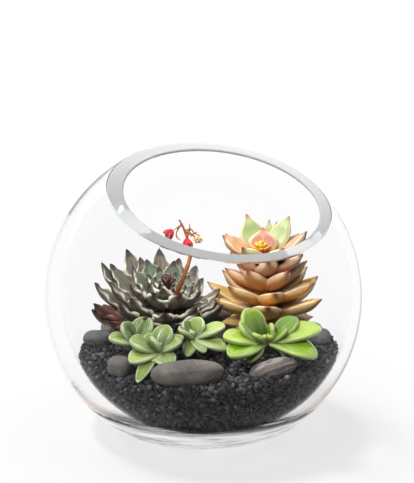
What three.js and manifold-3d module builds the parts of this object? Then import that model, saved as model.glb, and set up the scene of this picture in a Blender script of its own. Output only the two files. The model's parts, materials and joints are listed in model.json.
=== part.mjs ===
// A glass terrarium: a slant-cut bubble bowl with dark gravel, pebbles and small succulents.
// Millimetres, +Z up. The origin is the centre of the foot, and -Y is the front, where the mouth dips.
// Headings are degrees from +X towards +Y.

import * as THREE from "three";
import { mergeVertices } from "three/addons/utils/BufferGeometryUtils.js";
import Module from "manifold-3d";

const wasm = await Module();
wasm.setup();

const GAP = 0.35; // air between pieces that rest on each other

// ---- Bowl and bed ----------------------------------------------------------------------

const BOWL = {
  radius: 90, // outside of the bubble
  centreHeight: 76.3, // of the bubble's centre above the foot
  cavityRadius: 83.2,
  cavityShift: [1.6, 0, 1.0], // the blown wall is thicker low on the left
  floorHeight: 12.5, // of the inner face of the thick glass foot
  footRound: 50, // radius of the wall's turn into the flat foot
  segments: 48,
  ringsFoot: 4,
  ringsBelow: 5,
  ringsAbove: 7,
};

const MOUTH = {
  tilt: 19.1, // of the ground rim's plane from level
  facing: -64.8, // heading that the rim dips towards
  distance: 65.2, // of the rim's plane from the bubble's centre
};

const GRAVEL = {
  surface: 45.2, // height of the bed's top in the middle
  slope: [0.02, -0.068], // rise for each millimetre to the right and towards the back
  relief: 1.3, // how far the larger-than-life grains stand up, down or in
  sideTop: 3.9, // how far below the surface the side ends
  inset: 2.6, // of the top's outermost grains from the wall
  crowding: 1.3, // of the side's grains towards its foot
  rings: 11, // of grains on the top
  sideRings: 5,
  segments: 37,
};

// Stones: centre in plan, half sizes along, across and up, and the heading of their length.
const PEBBLES = [
  { name: "pebble_front_large", at: [-7.8, -67.5], half: [19.5, 7.6, 7.0], heading: 3, colour: 0x57504f },
  { name: "pebble_front_streaked", at: [37.0, -57.0], half: [13.4, 6.5, 5.6], heading: 12, colour: 0x6b6265 },
  { name: "pebble_front_left", at: [-44.0, -49.5], half: [7.6, 5.5, 6.2], heading: -30, colour: 0x5b5052 },
  { name: "pebble_left", at: [-64.0, 8.0], half: [9.8, 7.5, 5.0], heading: -8, colour: 0x74757c },
  { name: "pebble_left_back", at: [-56.5, 28.5], half: [8.0, 8.0, 6.0], heading: 15, colour: 0x4c4143 },
  { name: "pebble_left_front", at: [-60, -14.5], half: [8, 6.5, 4.2], heading: 25, sunk: 6.6, colour: 0x45434a },
  { name: "pebble_left_inner", at: [-39.0, -12.0], half: [8.5, 7.0, 5.4], heading: 40, colour: 0x2c2829 },
  { name: "pebble_back_left", at: [-30.0, 50.0], half: [13.0, 10.0, 7.0], heading: 15, colour: 0x4a4547 },
  { name: "pebble_middle", at: [5.5, 2.0], half: [11.0, 7.0, 6.0], heading: -8, colour: 0x262324 },
  { name: "pebble_middle_front", at: [3.5, -18.0], half: [8.0, 5.5, 5.0], heading: 12, colour: 0x2e2a2c },
  { name: "pebble_back", at: [6.0, 54.0], half: [12.0, 9.0, 6.5], heading: -12, colour: 0x3d393b },
  { name: "pebble_right_inner", at: [35.0, -13.5], half: [10.5, 6.0, 4.6], heading: 6, colour: 0x302b2c },
  { name: "pebble_right_black", at: [54.5, 38.0], half: [9.0, 7.0, 6.6], heading: 18, colour: 0x1d1a1b },
  { name: "pebble_right_back", at: [63.0, 19.0], half: [7.5, 6.5, 5.2], heading: -20, colour: 0x4b454b },
  { name: "pebble_right", at: [68.0, 3.0], half: [6.5, 6.5, 5.0], heading: 25, colour: 0x6c6c72 },
  { name: "pebble_right_front", at: [55.0, -8.0], half: [7.5, 6.0, 4.6], heading: -30, colour: 0x3b3738 },
];
const PEBBLE = {
  segments: 10,
  rings: 6,
  sunk: 1.4, // of its underside in the gravel, where the stone states no other
  swell: 0.055, // how uneven its radius is
  swellTurns: 2.9, // radians of the unevenness from its middle to its side
};

// ---- Rosettes --------------------------------------------------------------------------

// A rosette is rings of leaves round a stem. In a ring, rise is the leaf's first slope in degrees,
// bend is how much steeper its tip is, and at is the height of its root above the rosette's foot.
const ECHEVERIA = {
  name: "echeveria",
  foot: [-22.5, 11, 63.5],
  lean: 14,
  leanHeading: -72, // towards the front
  stem: { radius: 4, coreRadius: 8, coreHeight: 14 },
  crowd: { heading: 22, cut: 0.42 }, // leaves are shorter where the two large plants meet
  rings: [
    { count: 11, first: -2, step: 32.7, at: 0, rise: -9, bend: 76, length: 48, width: 12.5 },
    { count: 10, first: 16, step: 36, at: 2, rise: -6, bend: 70, length: 41, width: 12 },
    { count: 9, first: 8, step: 40, at: 5, rise: 10, bend: 52, length: 28, width: 11.5 },
    { count: 8, first: 30, step: 45, at: 8, rise: 22, bend: 42, length: 18, width: 10 },
    { count: 6, first: 50, step: 60, at: 10, rise: 38, bend: 26, length: 12, width: 7.5 },
  ],
  leaf: {
    thickness: 3.0,
    wave: 0.9,
    rootWidth: 0.25,
    widest: 0.68,
    tipSlope: 0.42,
    stations: [0.36, 0.62, 0.86],
  },
  colour: 0x6f7a6c,
};

const GHOST_PLANT = {
  name: "ghost_plant",
  foot: [36, 15, 50],
  lean: 2,
  leanHeading: 180,
  stem: { radius: 4, coreRadius: 8, coreHeight: 54 },
  crowd: { heading: 190, cut: 0.1 },
  rings: [
    { count: 7, first: -75, step: 51.4, at: 8, rise: -10, bend: 8, length: 29, width: 15 },
    { count: 6, first: -30, step: 60, at: 10, rise: 16, bend: 16, length: 40, width: 17 },
    { count: 6, first: -84, step: 60, at: 19, rise: 18, bend: 18, length: 32, width: 15.5 },
    { count: 6, first: -57, step: 60, at: 27, rise: 20, bend: 18, length: 29, width: 14 },
    { count: 6, first: -86, step: 60, at: 35, rise: 24, bend: 18, length: 27, width: 13.5 },
    { count: 5, first: -56, step: 72, at: 43, rise: 20, bend: 16, length: 24, width: 13 },
  ],
  // The leaves of its top, each from its root to its tip, with where its upper face looks.
  topLeaves: [
    { root: [31, 12, 97], tip: [25.2, 20, 117.8], width: 14, facing: [0.25, -0.9, 0.35] },
    { root: [38, 13, 97], tip: [48.8, 20, 116.6], width: 12, facing: [-0.35, -0.85, 0.3] },
    { root: [36, 16, 99], tip: [38, 24, 113.5], width: 7.5, facing: [0, -0.9, 0.3] },
    { root: [38, 15, 99], tip: [42.1, 23, 112.6], width: 7, facing: [-0.2, -0.9, 0.3] },
    { root: [34.2, 10, 97], tip: [34.3, 15, 111.1], width: 16.5, facing: [0, -0.95, 0.3] },
    { root: [29, 9, 98], tip: [12.2, 7, 109.3], width: 11, facing: [0.3, -0.5, 0.8] },
    { root: [42, 10, 97], tip: [58.1, 11, 110.4], width: 9, facing: [-0.5, -0.1, 0.85] },
    { root: [36, 18, 95], tip: [37, 38, 106], width: 12, facing: [0, -0.4, 0.9] },
    { root: [30, 16, 94], tip: [14, 30, 104], width: 12, facing: [0.3, -0.4, 0.9] },
    { root: [41, 16, 94], tip: [56, 28, 104], width: 12, facing: [-0.3, -0.4, 0.9] },
  ],
  topArch: -0.1, // their rise over their length, away from where they face
  leaf: {
    thickness: 5.2,
    wave: 0,
    rootWidth: 0.45,
    widest: 0.5,
    tipSlope: 0.8,
    stations: [0.25, 0.55, 0.82],
  },
  colour: 0xb98a5c,
};

// Small pointed sepals and buds in the hearts of the two large rosettes.
const BUDS = [
  { name: "echeveria_bud", in: "echeveria", at: [-20.9, 4.2, 78.6], radius: 2.4, reach: 5, colour: 0x6e2a2c },
  { name: "ghost_plant_bud", in: "ghost_plant", at: [33, 9.2, 101], radius: 2.6, reach: 5.6, colour: 0xc9a52e },
];
const BUD = { spikes: 7, spikeRadius: 1.2, sides: 4, tilt: 42 };

// ---- Leafy shoots ----------------------------------------------------------------------

// Each plump leaf of a shoot goes from its heart to its tip.
const SHOOTS = [
  {
    name: "pale_sedum_front",
    heart: [-25, -45.5, 58.5],
    stemFoot: [-24, -41],
    colour: 0x9dbb6a,
    leaves: [
      { tip: [-38.9, -50, 66.3], width: 14 },
      { tip: [-29.5, -39, 66.2], width: 11 },
      { tip: [-20.8, -36.5, 70.3], width: 11 },
      { tip: [-38.5, -58, 57.5], width: 12 },
      { tip: [-18.7, -60, 56.0], width: 11 },
      { tip: [-11.8, -47, 64.4], width: 10.5 },
      { tip: [-28.6, -52.5, 64.0], width: 5.5 },
      { tip: [-23.5, -52, 65.0], width: 5.5 },
      { tip: [-34.5, -68.5, 51.5], width: 6.5, arch: 0.34 },
    ],
  },
  {
    name: "pale_sedum_left",
    heart: [-36.5, -38.5, 60],
    stemFoot: [-35, -35],
    colour: 0x93b455,
    leaves: [
      { tip: [-43.7, -38, 72.6], width: 10.5 },
      { tip: [-30.5, -30, 73.5], width: 12 },
      { tip: [-50.2, -44.5, 66.3], width: 11 },
      { tip: [-40.0, -26, 67.0], width: 9 },
    ],
  },
  {
    name: "pale_sedum_middle",
    heart: [-6, -33, 61.5],
    stemFoot: [-5, -30],
    colour: 0x8cc24a,
    leaves: [
      { tip: [-11.2, -31.5, 71.4], width: 7.5 },
      { tip: [-1.7, -30.5, 73.0], width: 10.5 },
      { tip: [11.2, -35, 69.3], width: 10.5 },
      { tip: [11.0, -45.5, 59.5], width: 10 },
      { tip: [0.6, -47.5, 59.0], width: 7.5 },
      { tip: [-8.5, -46.5, 56.5], width: 8 },
      { tip: [-13.4, -39.5, 69.4], width: 8 },
      { tip: [3.6, -29.0, 65.0], width: 7.5 },
    ],
  },
  {
    name: "pale_sedum_back",
    heart: [-16, -31.5, 54.5],
    stemFoot: [-16, -30.5],
    colour: 0x7fa64e,
    leaves: [
      { tip: [-21.0, -33, 63.0], width: 7.5 },
      { tip: [-12.0, -31.0, 62.5], width: 7 },
      { tip: [-17.5, -37.0, 63.0], width: 6 },
      { tip: [-24.5, -31.0, 58.0], width: 7 },
    ],
  },
  {
    name: "bright_sedum_left",
    heart: [28.5, -42.5, 60.5],
    stemFoot: [25, -37],
    colour: 0x8fc32c,
    leaves: [
      { tip: [23.6, -34, 80], width: 13 },
      { tip: [18.6, -40, 73.5], width: 12 },
      { tip: [10.9, -49, 67.9], width: 14 },
      { tip: [14.0, -59.5, 59.9], width: 15.5 },
      { tip: [27.6, -46.5, 71.6], width: 9 },
      { tip: [24.0, -55.0, 56.5], width: 9.5 },
      { tip: [31.0, -30.5, 70.0], width: 10 },
    ],
  },
  {
    name: "bright_sedum_right",
    heart: [43.0, -41, 61.0],
    stemFoot: [46, -37],
    colour: 0x86c62a,
    leaves: [
      { tip: [51.0, -33.5, 74.8], width: 10.5 },
      { tip: [38.0, -38.0, 73.2], width: 8 },
      { tip: [63.0, -41.5, 71.1], width: 14 },
      { tip: [58.7, -56, 59.9], width: 14 },
      { tip: [45.6, -45.5, 71.2], width: 7.5 },
      { tip: [43.5, -29.0, 67.0], width: 9 },
    ],
  },
];
const SHOOT = {
  stemRadius: 1.6,
  heartRadius: 2.8,
  plump: 0.42, // a leaf's thickness over its width
  arch: 0.12, // a leaf's rise over its length
  rootWidth: 0.4,
  widest: 0.58,
  tipSlope: 0.42,
  stations: [0.26, 0.58, 0.84, 0.96],
};
const STEM_DEPTH = 9; // of each stem in the gravel
const UPRIGHT = 0.35; // share of its length that an upright leaf leans out, at most

const WITHERED = {
  name: "echeveria_withered_leaves",
  root: [-37, -6, 58],
  colour: 0x6b4038,
  rootRadius: 3,
  thickness: 1.5,
  wave: 0.9,
  arch: -0.12,
  facing: [0.1, -0.85, 0.5], // of their upper faces
  rootWidth: 0.5,
  widest: 0.55,
  tipSlope: 0.8,
  stations: [0.36, 0.62, 0.86],
  leaves: [
    { tip: [-63, -6, 72], width: 5.5 },
    { tip: [-61, -5, 71], width: 6 },
    { tip: [-57, -8, 67], width: 6.5 },
    { tip: [-53, -13, 64.5], width: 6 },
    { tip: [-50, -14, 60.5], width: 6.5 },
    { tip: [-57, 10, 64], width: 7 },
    { tip: [-48, -6, 56.5], width: 6.5 },
    { tip: [-46, -15, 57], width: 6 },
    { tip: [-55, -2, 62], width: 6 },
    { tip: [-42, -17, 61], width: 5.5 },
  ],
};

// ---- Flower stalk ----------------------------------------------------------------------

const STALK = {
  name: "echeveria_flower_stalk",
  colour: 0xa85a2c,
  sides: 6,
  twigs: [
    {
      route: [[-17.6, -11, 70], [-15.4, -13, 77.5], [-11.6, -9.5, 88], [-7.6, -4, 100], [-7.4, -1.5, 108], [-11, 0, 116.5]],
      radius: 1.5,
    },
    { route: [[-9, -0.8, 113.5], [-6.2, -2, 111.4], [-4.4, -2.2, 110.4]], radius: 1.1 },
    { route: [[-10.6, 0, 116], [-14.2, -1.6, 117.4], [-16.6, -3.2, 116.2]], radius: 0.7 },
    { route: [[-8.6, -1, 112.5], [-9.8, -3, 113], [-9.6, -4.9, 112.4]], radius: 0.7 },
    { route: [[-10.4, 0, 115], [-12, 0.4, 119.2], [-13.6, 0.4, 120.8]], radius: 0.9 },
    { route: [[-8.2, -0.9, 111.5], [-7.4, 1, 115.2], [-7.6, 1.8, 118]], radius: 0.8 },
  ],
};
const FLOWERS = [
  { name: "flower_left", at: [-16.95, -3.5, 115.8], towards: [-0.75, -0.5, -0.5] },
  { name: "flower_front", at: [-9.5, -5.6, 111.5], towards: [0.3, -0.4, -0.85] },
];
const FLOWER = {
  length: 5.6,
  radius: 2.4,
  petals: 5,
  // Rings from the base over the petals' tips to the inside: the shares of length and radius, and how
  // far the petals stand out.
  profile: [[0.12, 0.45, 0], [0.4, 0.85, 0], [0.85, 1, 0.22], [0.65, 0.6, 0.1]],
  hollow: 0.45, // height of the deepest point inside, as a share of length
  colour: 0xd8353f,
};
const STALK_END = { name: "stalk_end", at: [-1.9, -2.7, 109.2], half: [2.3, 1.5, 1.6], tilt: 25, colour: 0xc39a5e };

// A leaf's cross-sections, as shares of its half width and its thickness: both have a fine edge, a
// shallow upper face and a deeper keel.
const THIN = [[-1, 0], [0, 0.2], [1, 0], [0, -0.8]];
const PLUMP = [[-1, 0], [-0.5, 0.38], [0.5, 0.38], [1, 0], [0.5, -0.62], [-0.5, -0.62]];

// ---- Solids ----------------------------------------------------------------------------

const radians = THREE.MathUtils.degToRad;
const vector = (list) => new THREE.Vector3(...list);
const Z_AXIS = new THREE.Vector3(0, 0, 1);

// The same pseudo-random number from 0 to 1 for the same key.
const scatter = (key) => {
  const wild = Math.sin(key * 127.1 + 11.7) * 43758.5453;
  return wild - Math.floor(wild);
};

// A closed BufferGeometry as a solid.
function solidFrom(geometry) {
  const bare = geometry.clone();
  bare.deleteAttribute("normal");
  bare.deleteAttribute("uv");
  const merged = mergeVertices(bare, 1e-4);
  return new wasm.Manifold(
    new wasm.Mesh({
      numProp: 3,
      vertProperties: new Float32Array(merged.attributes.position.array),
      triVerts: new Uint32Array(merged.index.array),
    }),
  );
}

// A solid's faces as a flat-shaded geometry.
function geometryFrom(solid) {
  const { vertProperties, triVerts } = solid.getMesh();
  const indexed = new THREE.BufferGeometry();
  indexed.setAttribute("position", new THREE.BufferAttribute(vertProperties, 3));
  indexed.setIndex(new THREE.BufferAttribute(triVerts, 1));
  const flat = indexed.toNonIndexed();
  flat.computeVertexNormals();
  return flat;
}

const union = (solids) => solids.reduce((whole, solid) => whole.add(solid));

// The main body of a solid, without the scraps that a cut can leave.
const mainBody = (solid) => solid.decompose().reduce((a, b) => (b.volume() > a.volume() ? b : a));

// A solid from vertex rings of equal size between a first and a last point. Its quads are split in
// mirrored ways from side to side, so that the two faces of a thin waved blade can't cross.
function loft(first, rings, last) {
  const sides = rings[0].length;
  const points = [first, ...rings.flat(), last];
  const ringStart = (ring) => 1 + ring * sides;
  const end = points.length - 1;
  const faces = [];
  for (let i = 0; i < sides; i++) {
    const next = (i + 1) % sides;
    faces.push(0, ringStart(0) + next, ringStart(0) + i);
    for (let ring = 0; ring + 1 < rings.length; ring++) {
      const [low, high] = [ringStart(ring), ringStart(ring + 1)];
      if (i % 2) faces.push(low + i, low + next, high + i, low + next, high + next, high + i);
      else faces.push(low + i, low + next, high + next, low + i, high + next, high + i);
    }
    faces.push(end, ringStart(rings.length - 1) + i, ringStart(rings.length - 1) + next);
  }
  const geometry = new THREE.BufferGeometry().setFromPoints(points);
  geometry.setIndex(faces);
  return solidFrom(geometry);
}

// A sphere of so many segments and rings as a solid.
const ball = (radius, segments, rings) => solidFrom(new THREE.SphereGeometry(radius, segments, rings));

// A round rod between two points.
function rod(from, to, radius, sides = 8) {
  const way = new THREE.LineCurve3(vector(from), vector(to));
  return tube(way, radius, 1, sides);
}

// A round tube along a curve, closed at both ends.
function tube(curve, radius, steps, sides) {
  const outline = new THREE.Shape();
  for (let i = 0; i <= sides; i++) {
    const angle = (2 * Math.PI * i) / sides;
    const [x, y] = [radius * Math.cos(angle), radius * Math.sin(angle)];
    if (i === 0) outline.moveTo(x, y);
    else outline.lineTo(x, y);
  }
  return solidFrom(new THREE.ExtrudeGeometry(outline, { extrudePath: curve, steps, bevelEnabled: false }));
}

// The share of a leaf's full width at a share of its length: narrow at the root, full at widest.
function leafOutline(along, { rootWidth, widest, tipSlope }) {
  if (along < widest) return rootWidth + (1 - rootWidth) * Math.sin((Math.PI / 2) * (along / widest));
  const past = (along - widest) / (1 - widest);
  return Math.pow(1 - past * past, tipSlope) * (1 - 0.25 * past * past);
}

// A leaf along a curve, where side is its width's direction. One edge waves up where the other dips.
function leafSolid(curve, side, { width, thickness, wave = 0, section, stations, ...outline }) {
  const rings = stations.map((along, index) => {
    const middle = curve.getPoint(along);
    const up = new THREE.Vector3().crossVectors(curve.getTangent(along), side).normalize();
    const half = (width / 2) * leafOutline(along, outline);
    const thick = thickness * Math.min(1, 1.2 * leafOutline(along, outline));
    const lift = wave * (index % 2 ? 1 : -1);
    const corners = section.map(([across, above]) => {
      const edge = Math.abs(across) === 1 ? across * lift : 0;
      return middle.clone().addScaledVector(side, across * half).addScaledVector(up, above * thick + edge);
    });
    return corners.reverse();
  });
  return loft(curve.getPoint(0), rings, curve.getPoint(1));
}

// ---- Bowl ------------------------------------------------------------------------------

// A ball cut off flat below a height, as a solid. height is measured from its centre. Where turn is
// over 0, an arc of that radius runs from the flat into the ball.
function flattenedBall(radius, height, turn = 0) {
  const { segments, ringsFoot, ringsBelow, ringsAbove } = BOWL;
  const start = Math.asin((height + turn) / (radius - turn));
  const flat = (radius - turn) * Math.cos(start);
  const foot = [];
  for (let i = 0; turn && i < ringsFoot; i++) {
    const angle = -Math.PI / 2 + (start + Math.PI / 2) * (i / ringsFoot);
    foot.push(new THREE.Vector2(flat + turn * Math.cos(angle), height + turn + turn * Math.sin(angle)));
  }
  const angles = [];
  for (let i = 0; i < ringsBelow; i++) angles.push(start * (1 - i / ringsBelow));
  for (let i = 0; i < ringsAbove; i++) angles.push((Math.PI / 2) * (i / ringsAbove));
  const round = angles.map((angle) => new THREE.Vector2(radius * Math.cos(angle), radius * Math.sin(angle)));
  const profile = [new THREE.Vector2(0, height), ...foot, ...round, new THREE.Vector2(0, radius)];
  const lathe = new THREE.LatheGeometry(profile, segments);
  lathe.rotateX(Math.PI / 2);
  return solidFrom(lathe);
}

const cavityCentre = new THREE.Vector3(0, 0, BOWL.centreHeight).add(vector(BOWL.cavityShift));

function bowl() {
  const { radius, centreHeight, cavityRadius, floorHeight, footRound } = BOWL;
  const outside = flattenedBall(radius, -centreHeight, footRound).translate([0, 0, centreHeight]);
  const floor = floorHeight - cavityCentre.z;
  const cavity = flattenedBall(cavityRadius, floor).translate(cavityCentre.toArray());
  const above = new THREE.BoxGeometry(4 * radius, 4 * radius, 2 * radius);
  above.translate(0, 0, MOUTH.distance + radius);
  above.rotateY(radians(MOUTH.tilt));
  above.rotateZ(radians(MOUTH.facing));
  above.translate(0, 0, centreHeight);
  return outside.subtract(cavity).subtract(solidFrom(above));
}

// ---- Gravel and stones -----------------------------------------------------------------

const surfaceHeight = (x, y) => GRAVEL.surface + GRAVEL.slope[0] * x + GRAVEL.slope[1] * y;

// The bed fills the cavity up to a surface whose grains are raised and sunk by turns, and its side is
// dented by grains too.
function gravelBed() {
  const { rings, sideRings, segments, relief, sideTop, inset, crowding } = GRAVEL;
  const reach = BOWL.cavityRadius - 2 * GAP; // clear of the cavity's flat facets
  const floor = BOWL.floorHeight + GAP;
  const centre = cavityCentre;
  const grainAt = (i, k) => relief * scatter(i + segments * k);
  const ringAt = (out, heightAt) =>
    Array.from({ length: segments }, (_, i) => {
      const angle = (2 * Math.PI * i) / segments;
      const [x, y] = [centre.x + out(i) * Math.cos(angle), centre.y + out(i) * Math.sin(angle)];
      return new THREE.Vector3(x, y, heightAt(x, y, i));
    });
  const wallAt = (height) => Math.sqrt(reach ** 2 - (height - centre.z) ** 2);
  const edge = GRAVEL.surface - sideTop;
  const side = Array.from({ length: sideRings }, (_, k) => {
    const share = Math.sin(((Math.PI / 2) * k) / (sideRings - 1)) ** crowding;
    const height = floor + (edge - floor) * share;
    const dent = (i) => (k ? grainAt(i, -k) : relief);
    return ringAt((i) => wallAt(height) - dent(i), () => height);
  });
  const top = Array.from({ length: rings }, (_, k) => {
    const out = (wallAt(GRAVEL.surface) - inset) * (1 - k / rings);
    return ringAt(() => out, (x, y, i) => surfaceHeight(x, y) - relief + 2 * grainAt(i, k));
  });
  const last = new THREE.Vector3(centre.x, centre.y, surfaceHeight(centre.x, centre.y));
  return loft(new THREE.Vector3(centre.x, centre.y, floor), [...side, ...top], last);
}

// A stone: a flattened ball with uneven radii, or the seat that it needs when grown is over 0.
function pebble({ at, half, heading, sunk = PEBBLE.sunk }, grown = 0) {
  const shape = new THREE.SphereGeometry(1, PEBBLE.segments, PEBBLE.rings);
  const spots = shape.attributes.position;
  for (let i = 0; i < spots.count; i++) {
    const [x, y, z] = [spots.getX(i), spots.getY(i), spots.getZ(i)];
    const swells = Math.sin(PEBBLE.swellTurns * x + at[0]) + Math.sin(PEBBLE.swellTurns * y + at[1]);
    const uneven = 1 + PEBBLE.swell * swells;
    const size = half.map((length) => length * uneven + grown);
    spots.setXYZ(i, x * size[0], y * size[1], z * size[2]);
  }
  shape.rotateZ(radians(heading));
  shape.translate(at[0], at[1], surfaceHeight(...at) + half[2] - sunk);
  return solidFrom(shape);
}

// ---- Plants ----------------------------------------------------------------------------

// A curve that starts in one slope and bends evenly into another, in the plane of a heading.
class LeafSpine extends THREE.Curve {
  constructor(root, heading, rise, bend, length) {
    super();
    Object.assign(this, { root, heading, rise, bend, length });
  }

  getPoint(along, target = new THREE.Vector3()) {
    const slopes = 12;
    let [out, up] = [0, 0];
    for (let i = 0; i < slopes; i++) {
      const slope = this.rise + this.bend * along * ((i + 0.5) / slopes);
      out += (Math.cos(slope) * this.length * along) / slopes;
      up += (Math.sin(slope) * this.length * along) / slopes;
    }
    const around = new THREE.Vector3(Math.cos(this.heading), Math.sin(this.heading), 0);
    return target.copy(this.root).addScaledVector(around, out).addScaledVector(Z_AXIS, up);
  }
}

const stemOf = ({ foot, stem }) => {
  const [x, y, z] = foot;
  return { from: [x, y, surfaceHeight(x, y) - STEM_DEPTH], to: [x, y, z + 2], radius: stem.radius };
};

// The turn that leans a rosette's axis.
function leaning({ lean, leanHeading }) {
  const heading = radians(leanHeading);
  const hinge = new THREE.Vector3(-Math.sin(heading), Math.cos(heading), 0);
  return new THREE.Quaternion().setFromAxisAngle(hinge, radians(lean));
}

function rosette(plant) {
  const { foot, stem, crowd, rings, leaf, topLeaves = [], topArch } = plant;
  const parts = [];
  for (const ring of rings)
    for (let i = 0; i < ring.count; i++) {
      const heading = ring.first + ring.step * i;
      const facing = Math.max(0, Math.cos(radians(heading - crowd.heading)));
      const length = ring.length * (1 - crowd.cut * facing ** 4);
      const root = new THREE.Vector3(0, 0, ring.at);
      const spine = new LeafSpine(root, radians(heading), radians(ring.rise), radians(ring.bend), length);
      const side = new THREE.Vector3(-Math.sin(radians(heading)), Math.cos(radians(heading)), 0);
      parts.push(leafSolid(spine, side, { ...leaf, section: THIN, width: ring.width }));
    }
  const core = new THREE.CylinderGeometry(stem.coreRadius * 0.5, stem.coreRadius, stem.coreHeight, 10);
  core.rotateX(Math.PI / 2);
  core.translate(0, 0, stem.coreHeight / 2 - 1);
  parts.push(solidFrom(core));
  const turn = new THREE.Matrix4().makeRotationFromQuaternion(leaning(plant)).setPosition(...foot);
  const { from, to, radius } = stemOf(plant);
  const top = topLeaves.map(({ root, tip, width, facing }) => {
    const [start, end, face] = [root, tip, facing].map(vector);
    const way = end.clone().sub(start).normalize();
    const side = face.clone().cross(way).normalize();
    const out = way.clone().cross(side);
    return leafSolid(archCurve(start, end, topArch, out), side, { ...leaf, section: THIN, width });
  });
  return union([union(parts).transform(turn.elements), rod(from, to, radius), ...top]);
}

// A cluster of small pointed buds on a ball, or the hollow that it needs when grown is over 0.
function budCluster({ at, radius, reach }, grown = 0) {
  const parts = [ball(radius + grown, 6, 5)];
  for (let i = 0; i < BUD.spikes; i++) {
    const cone = new THREE.ConeGeometry(BUD.spikeRadius + grown, reach + grown, BUD.sides);
    cone.translate(0, (reach + grown) / 2, 0);
    cone.rotateX(Math.PI / 2);
    if (i > 0) cone.rotateY(radians(BUD.tilt));
    cone.rotateZ((2 * Math.PI * i) / (BUD.spikes - 1));
    parts.push(solidFrom(cone));
  }
  return union(parts).translate(at);
}

// The arch of a leaf from its root to its tip, which bulges upwards or another way.
function archCurve(root, tip, arch, outward = Z_AXIS) {
  const middle = root.clone().lerp(tip, 0.5).addScaledVector(outward, arch * root.distanceTo(tip));
  return new THREE.QuadraticBezierCurve3(root, middle, tip);
}

// The direction across a leaf from a root to a tip: level, and nearer +X where the leaf is upright.
function acrossLeaf(root, tip) {
  const way = tip.clone().sub(root);
  const level = new THREE.Vector3(-way.y, way.x, 0);
  if (level.length() < UPRIGHT * way.length()) level.x += way.length();
  level.addScaledVector(way, -level.dot(way) / way.lengthSq());
  return level.normalize();
}

const shootStem = ({ heart, stemFoot: [x, y] }) => ({
  from: [x, y, surfaceHeight(x, y) - STEM_DEPTH],
  to: heart,
  radius: SHOOT.stemRadius,
});

function shoot(plant) {
  const heart = vector(plant.heart);
  const { from, to, radius } = shootStem(plant);
  const parts = [rod(from, to, radius, 6), ball(SHOOT.heartRadius, 6, 5).translate(plant.heart)];
  for (const { tip, width, arch = SHOOT.arch } of plant.leaves) {
    const end = vector(tip);
    const curve = archCurve(heart, end, arch);
    const side = acrossLeaf(heart, end);
    parts.push(leafSolid(curve, side, { ...SHOOT, section: PLUMP, width, thickness: width * SHOOT.plump }));
  }
  return union(parts);
}

function witheredLeaves() {
  const root = vector(WITHERED.root);
  const parts = WITHERED.leaves.map(({ tip, width }) => {
    const end = vector(tip);
    const side = end.clone().sub(root).cross(vector(WITHERED.facing)).normalize();
    return leafSolid(archCurve(root, end, WITHERED.arch), side, { ...WITHERED, section: THIN, width });
  });
  return union([ball(WITHERED.rootRadius, 6, 5).translate(WITHERED.root), ...parts]);
}

// The stalk and its twigs, or the hole that they need when grown is over 0.
function flowerStalk(grown = 0) {
  const tubes = STALK.twigs.map(({ route, radius }) => {
    const curve = new THREE.CatmullRomCurve3(route.map(vector));
    return tube(curve, radius + grown, 2 * (route.length - 1), STALK.sides);
  });
  return union(tubes);
}

// A hollow bell of pointed petals that opens towards a direction.
function flower({ at, towards }) {
  const { length, radius, petals, profile, hollow } = FLOWER;
  const rings = profile.map(([height, out, flare]) =>
    Array.from({ length: 2 * petals }, (_, i) => {
      const angle = (Math.PI * i) / petals;
      const point = i % 2 ? -flare : flare;
      const reach = radius * out * (1 + point);
      const up = length * height * (1 + point / 2);
      return new THREE.Vector3(reach * Math.cos(angle), reach * Math.sin(angle), up);
    }),
  );
  const bell = loft(new THREE.Vector3(), rings, new THREE.Vector3(0, 0, hollow * length));
  const turn = new THREE.Quaternion().setFromUnitVectors(Z_AXIS, vector(towards).normalize());
  return bell.transform(new THREE.Matrix4().makeRotationFromQuaternion(turn).setPosition(...at).elements);
}

function stalkEnd() {
  const tuft = new THREE.SphereGeometry(1, 8, 6);
  tuft.scale(...STALK_END.half);
  tuft.rotateY(radians(STALK_END.tilt));
  tuft.translate(...STALK_END.at);
  return solidFrom(tuft);
}

// ---- The terrarium ---------------------------------------------------------------------

const terrarium = new THREE.Group();
terrarium.name = "glass_plant_terrarium";

function addPiece(name, solid, finish) {
  const mesh = new THREE.Mesh(geometryFrom(solid), new THREE.MeshStandardMaterial(finish));
  mesh.name = name;
  terrarium.add(mesh);
}

const GLASS = { color: 0xf2f7f6, roughness: 0.02, metalness: 0, transparent: true, opacity: 0.25 };
const STONE = { roughness: 0.6, metalness: 0 };
const LEAF = { roughness: 0.55, metalness: 0 };

addPiece("glass_bowl", bowl(), GLASS);

const grown = (rodOf) => rod(rodOf.from, rodOf.to, rodOf.radius + GAP);
const holes = [
  grown(stemOf(ECHEVERIA)),
  grown(stemOf(GHOST_PLANT)),
  ...SHOOTS.map((plant) => grown(shootStem(plant))),
  ...PEBBLES.map((stone) => pebble(stone, GAP)),
];
const bed = mainBody(holes.reduce((gravel, hole) => gravel.subtract(hole), gravelBed()));
addPiece("gravel_bed", bed, { color: 0x322f33, roughness: 0.95, metalness: 0 });

for (const stone of PEBBLES) addPiece(stone.name, pebble(stone), { ...STONE, color: stone.colour });

for (const plant of [ECHEVERIA, GHOST_PLANT]) {
  let body = rosette(plant);
  for (const bud of BUDS.filter((each) => each.in === plant.name)) {
    body = body.subtract(budCluster(bud, GAP));
    addPiece(bud.name, budCluster(bud), { ...LEAF, color: bud.colour });
  }
  if (plant === ECHEVERIA) body = body.subtract(flowerStalk(GAP));
  addPiece(plant.name, mainBody(body), { ...LEAF, color: plant.colour });
}

for (const plant of SHOOTS) addPiece(plant.name, shoot(plant), { ...LEAF, color: plant.colour });

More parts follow.
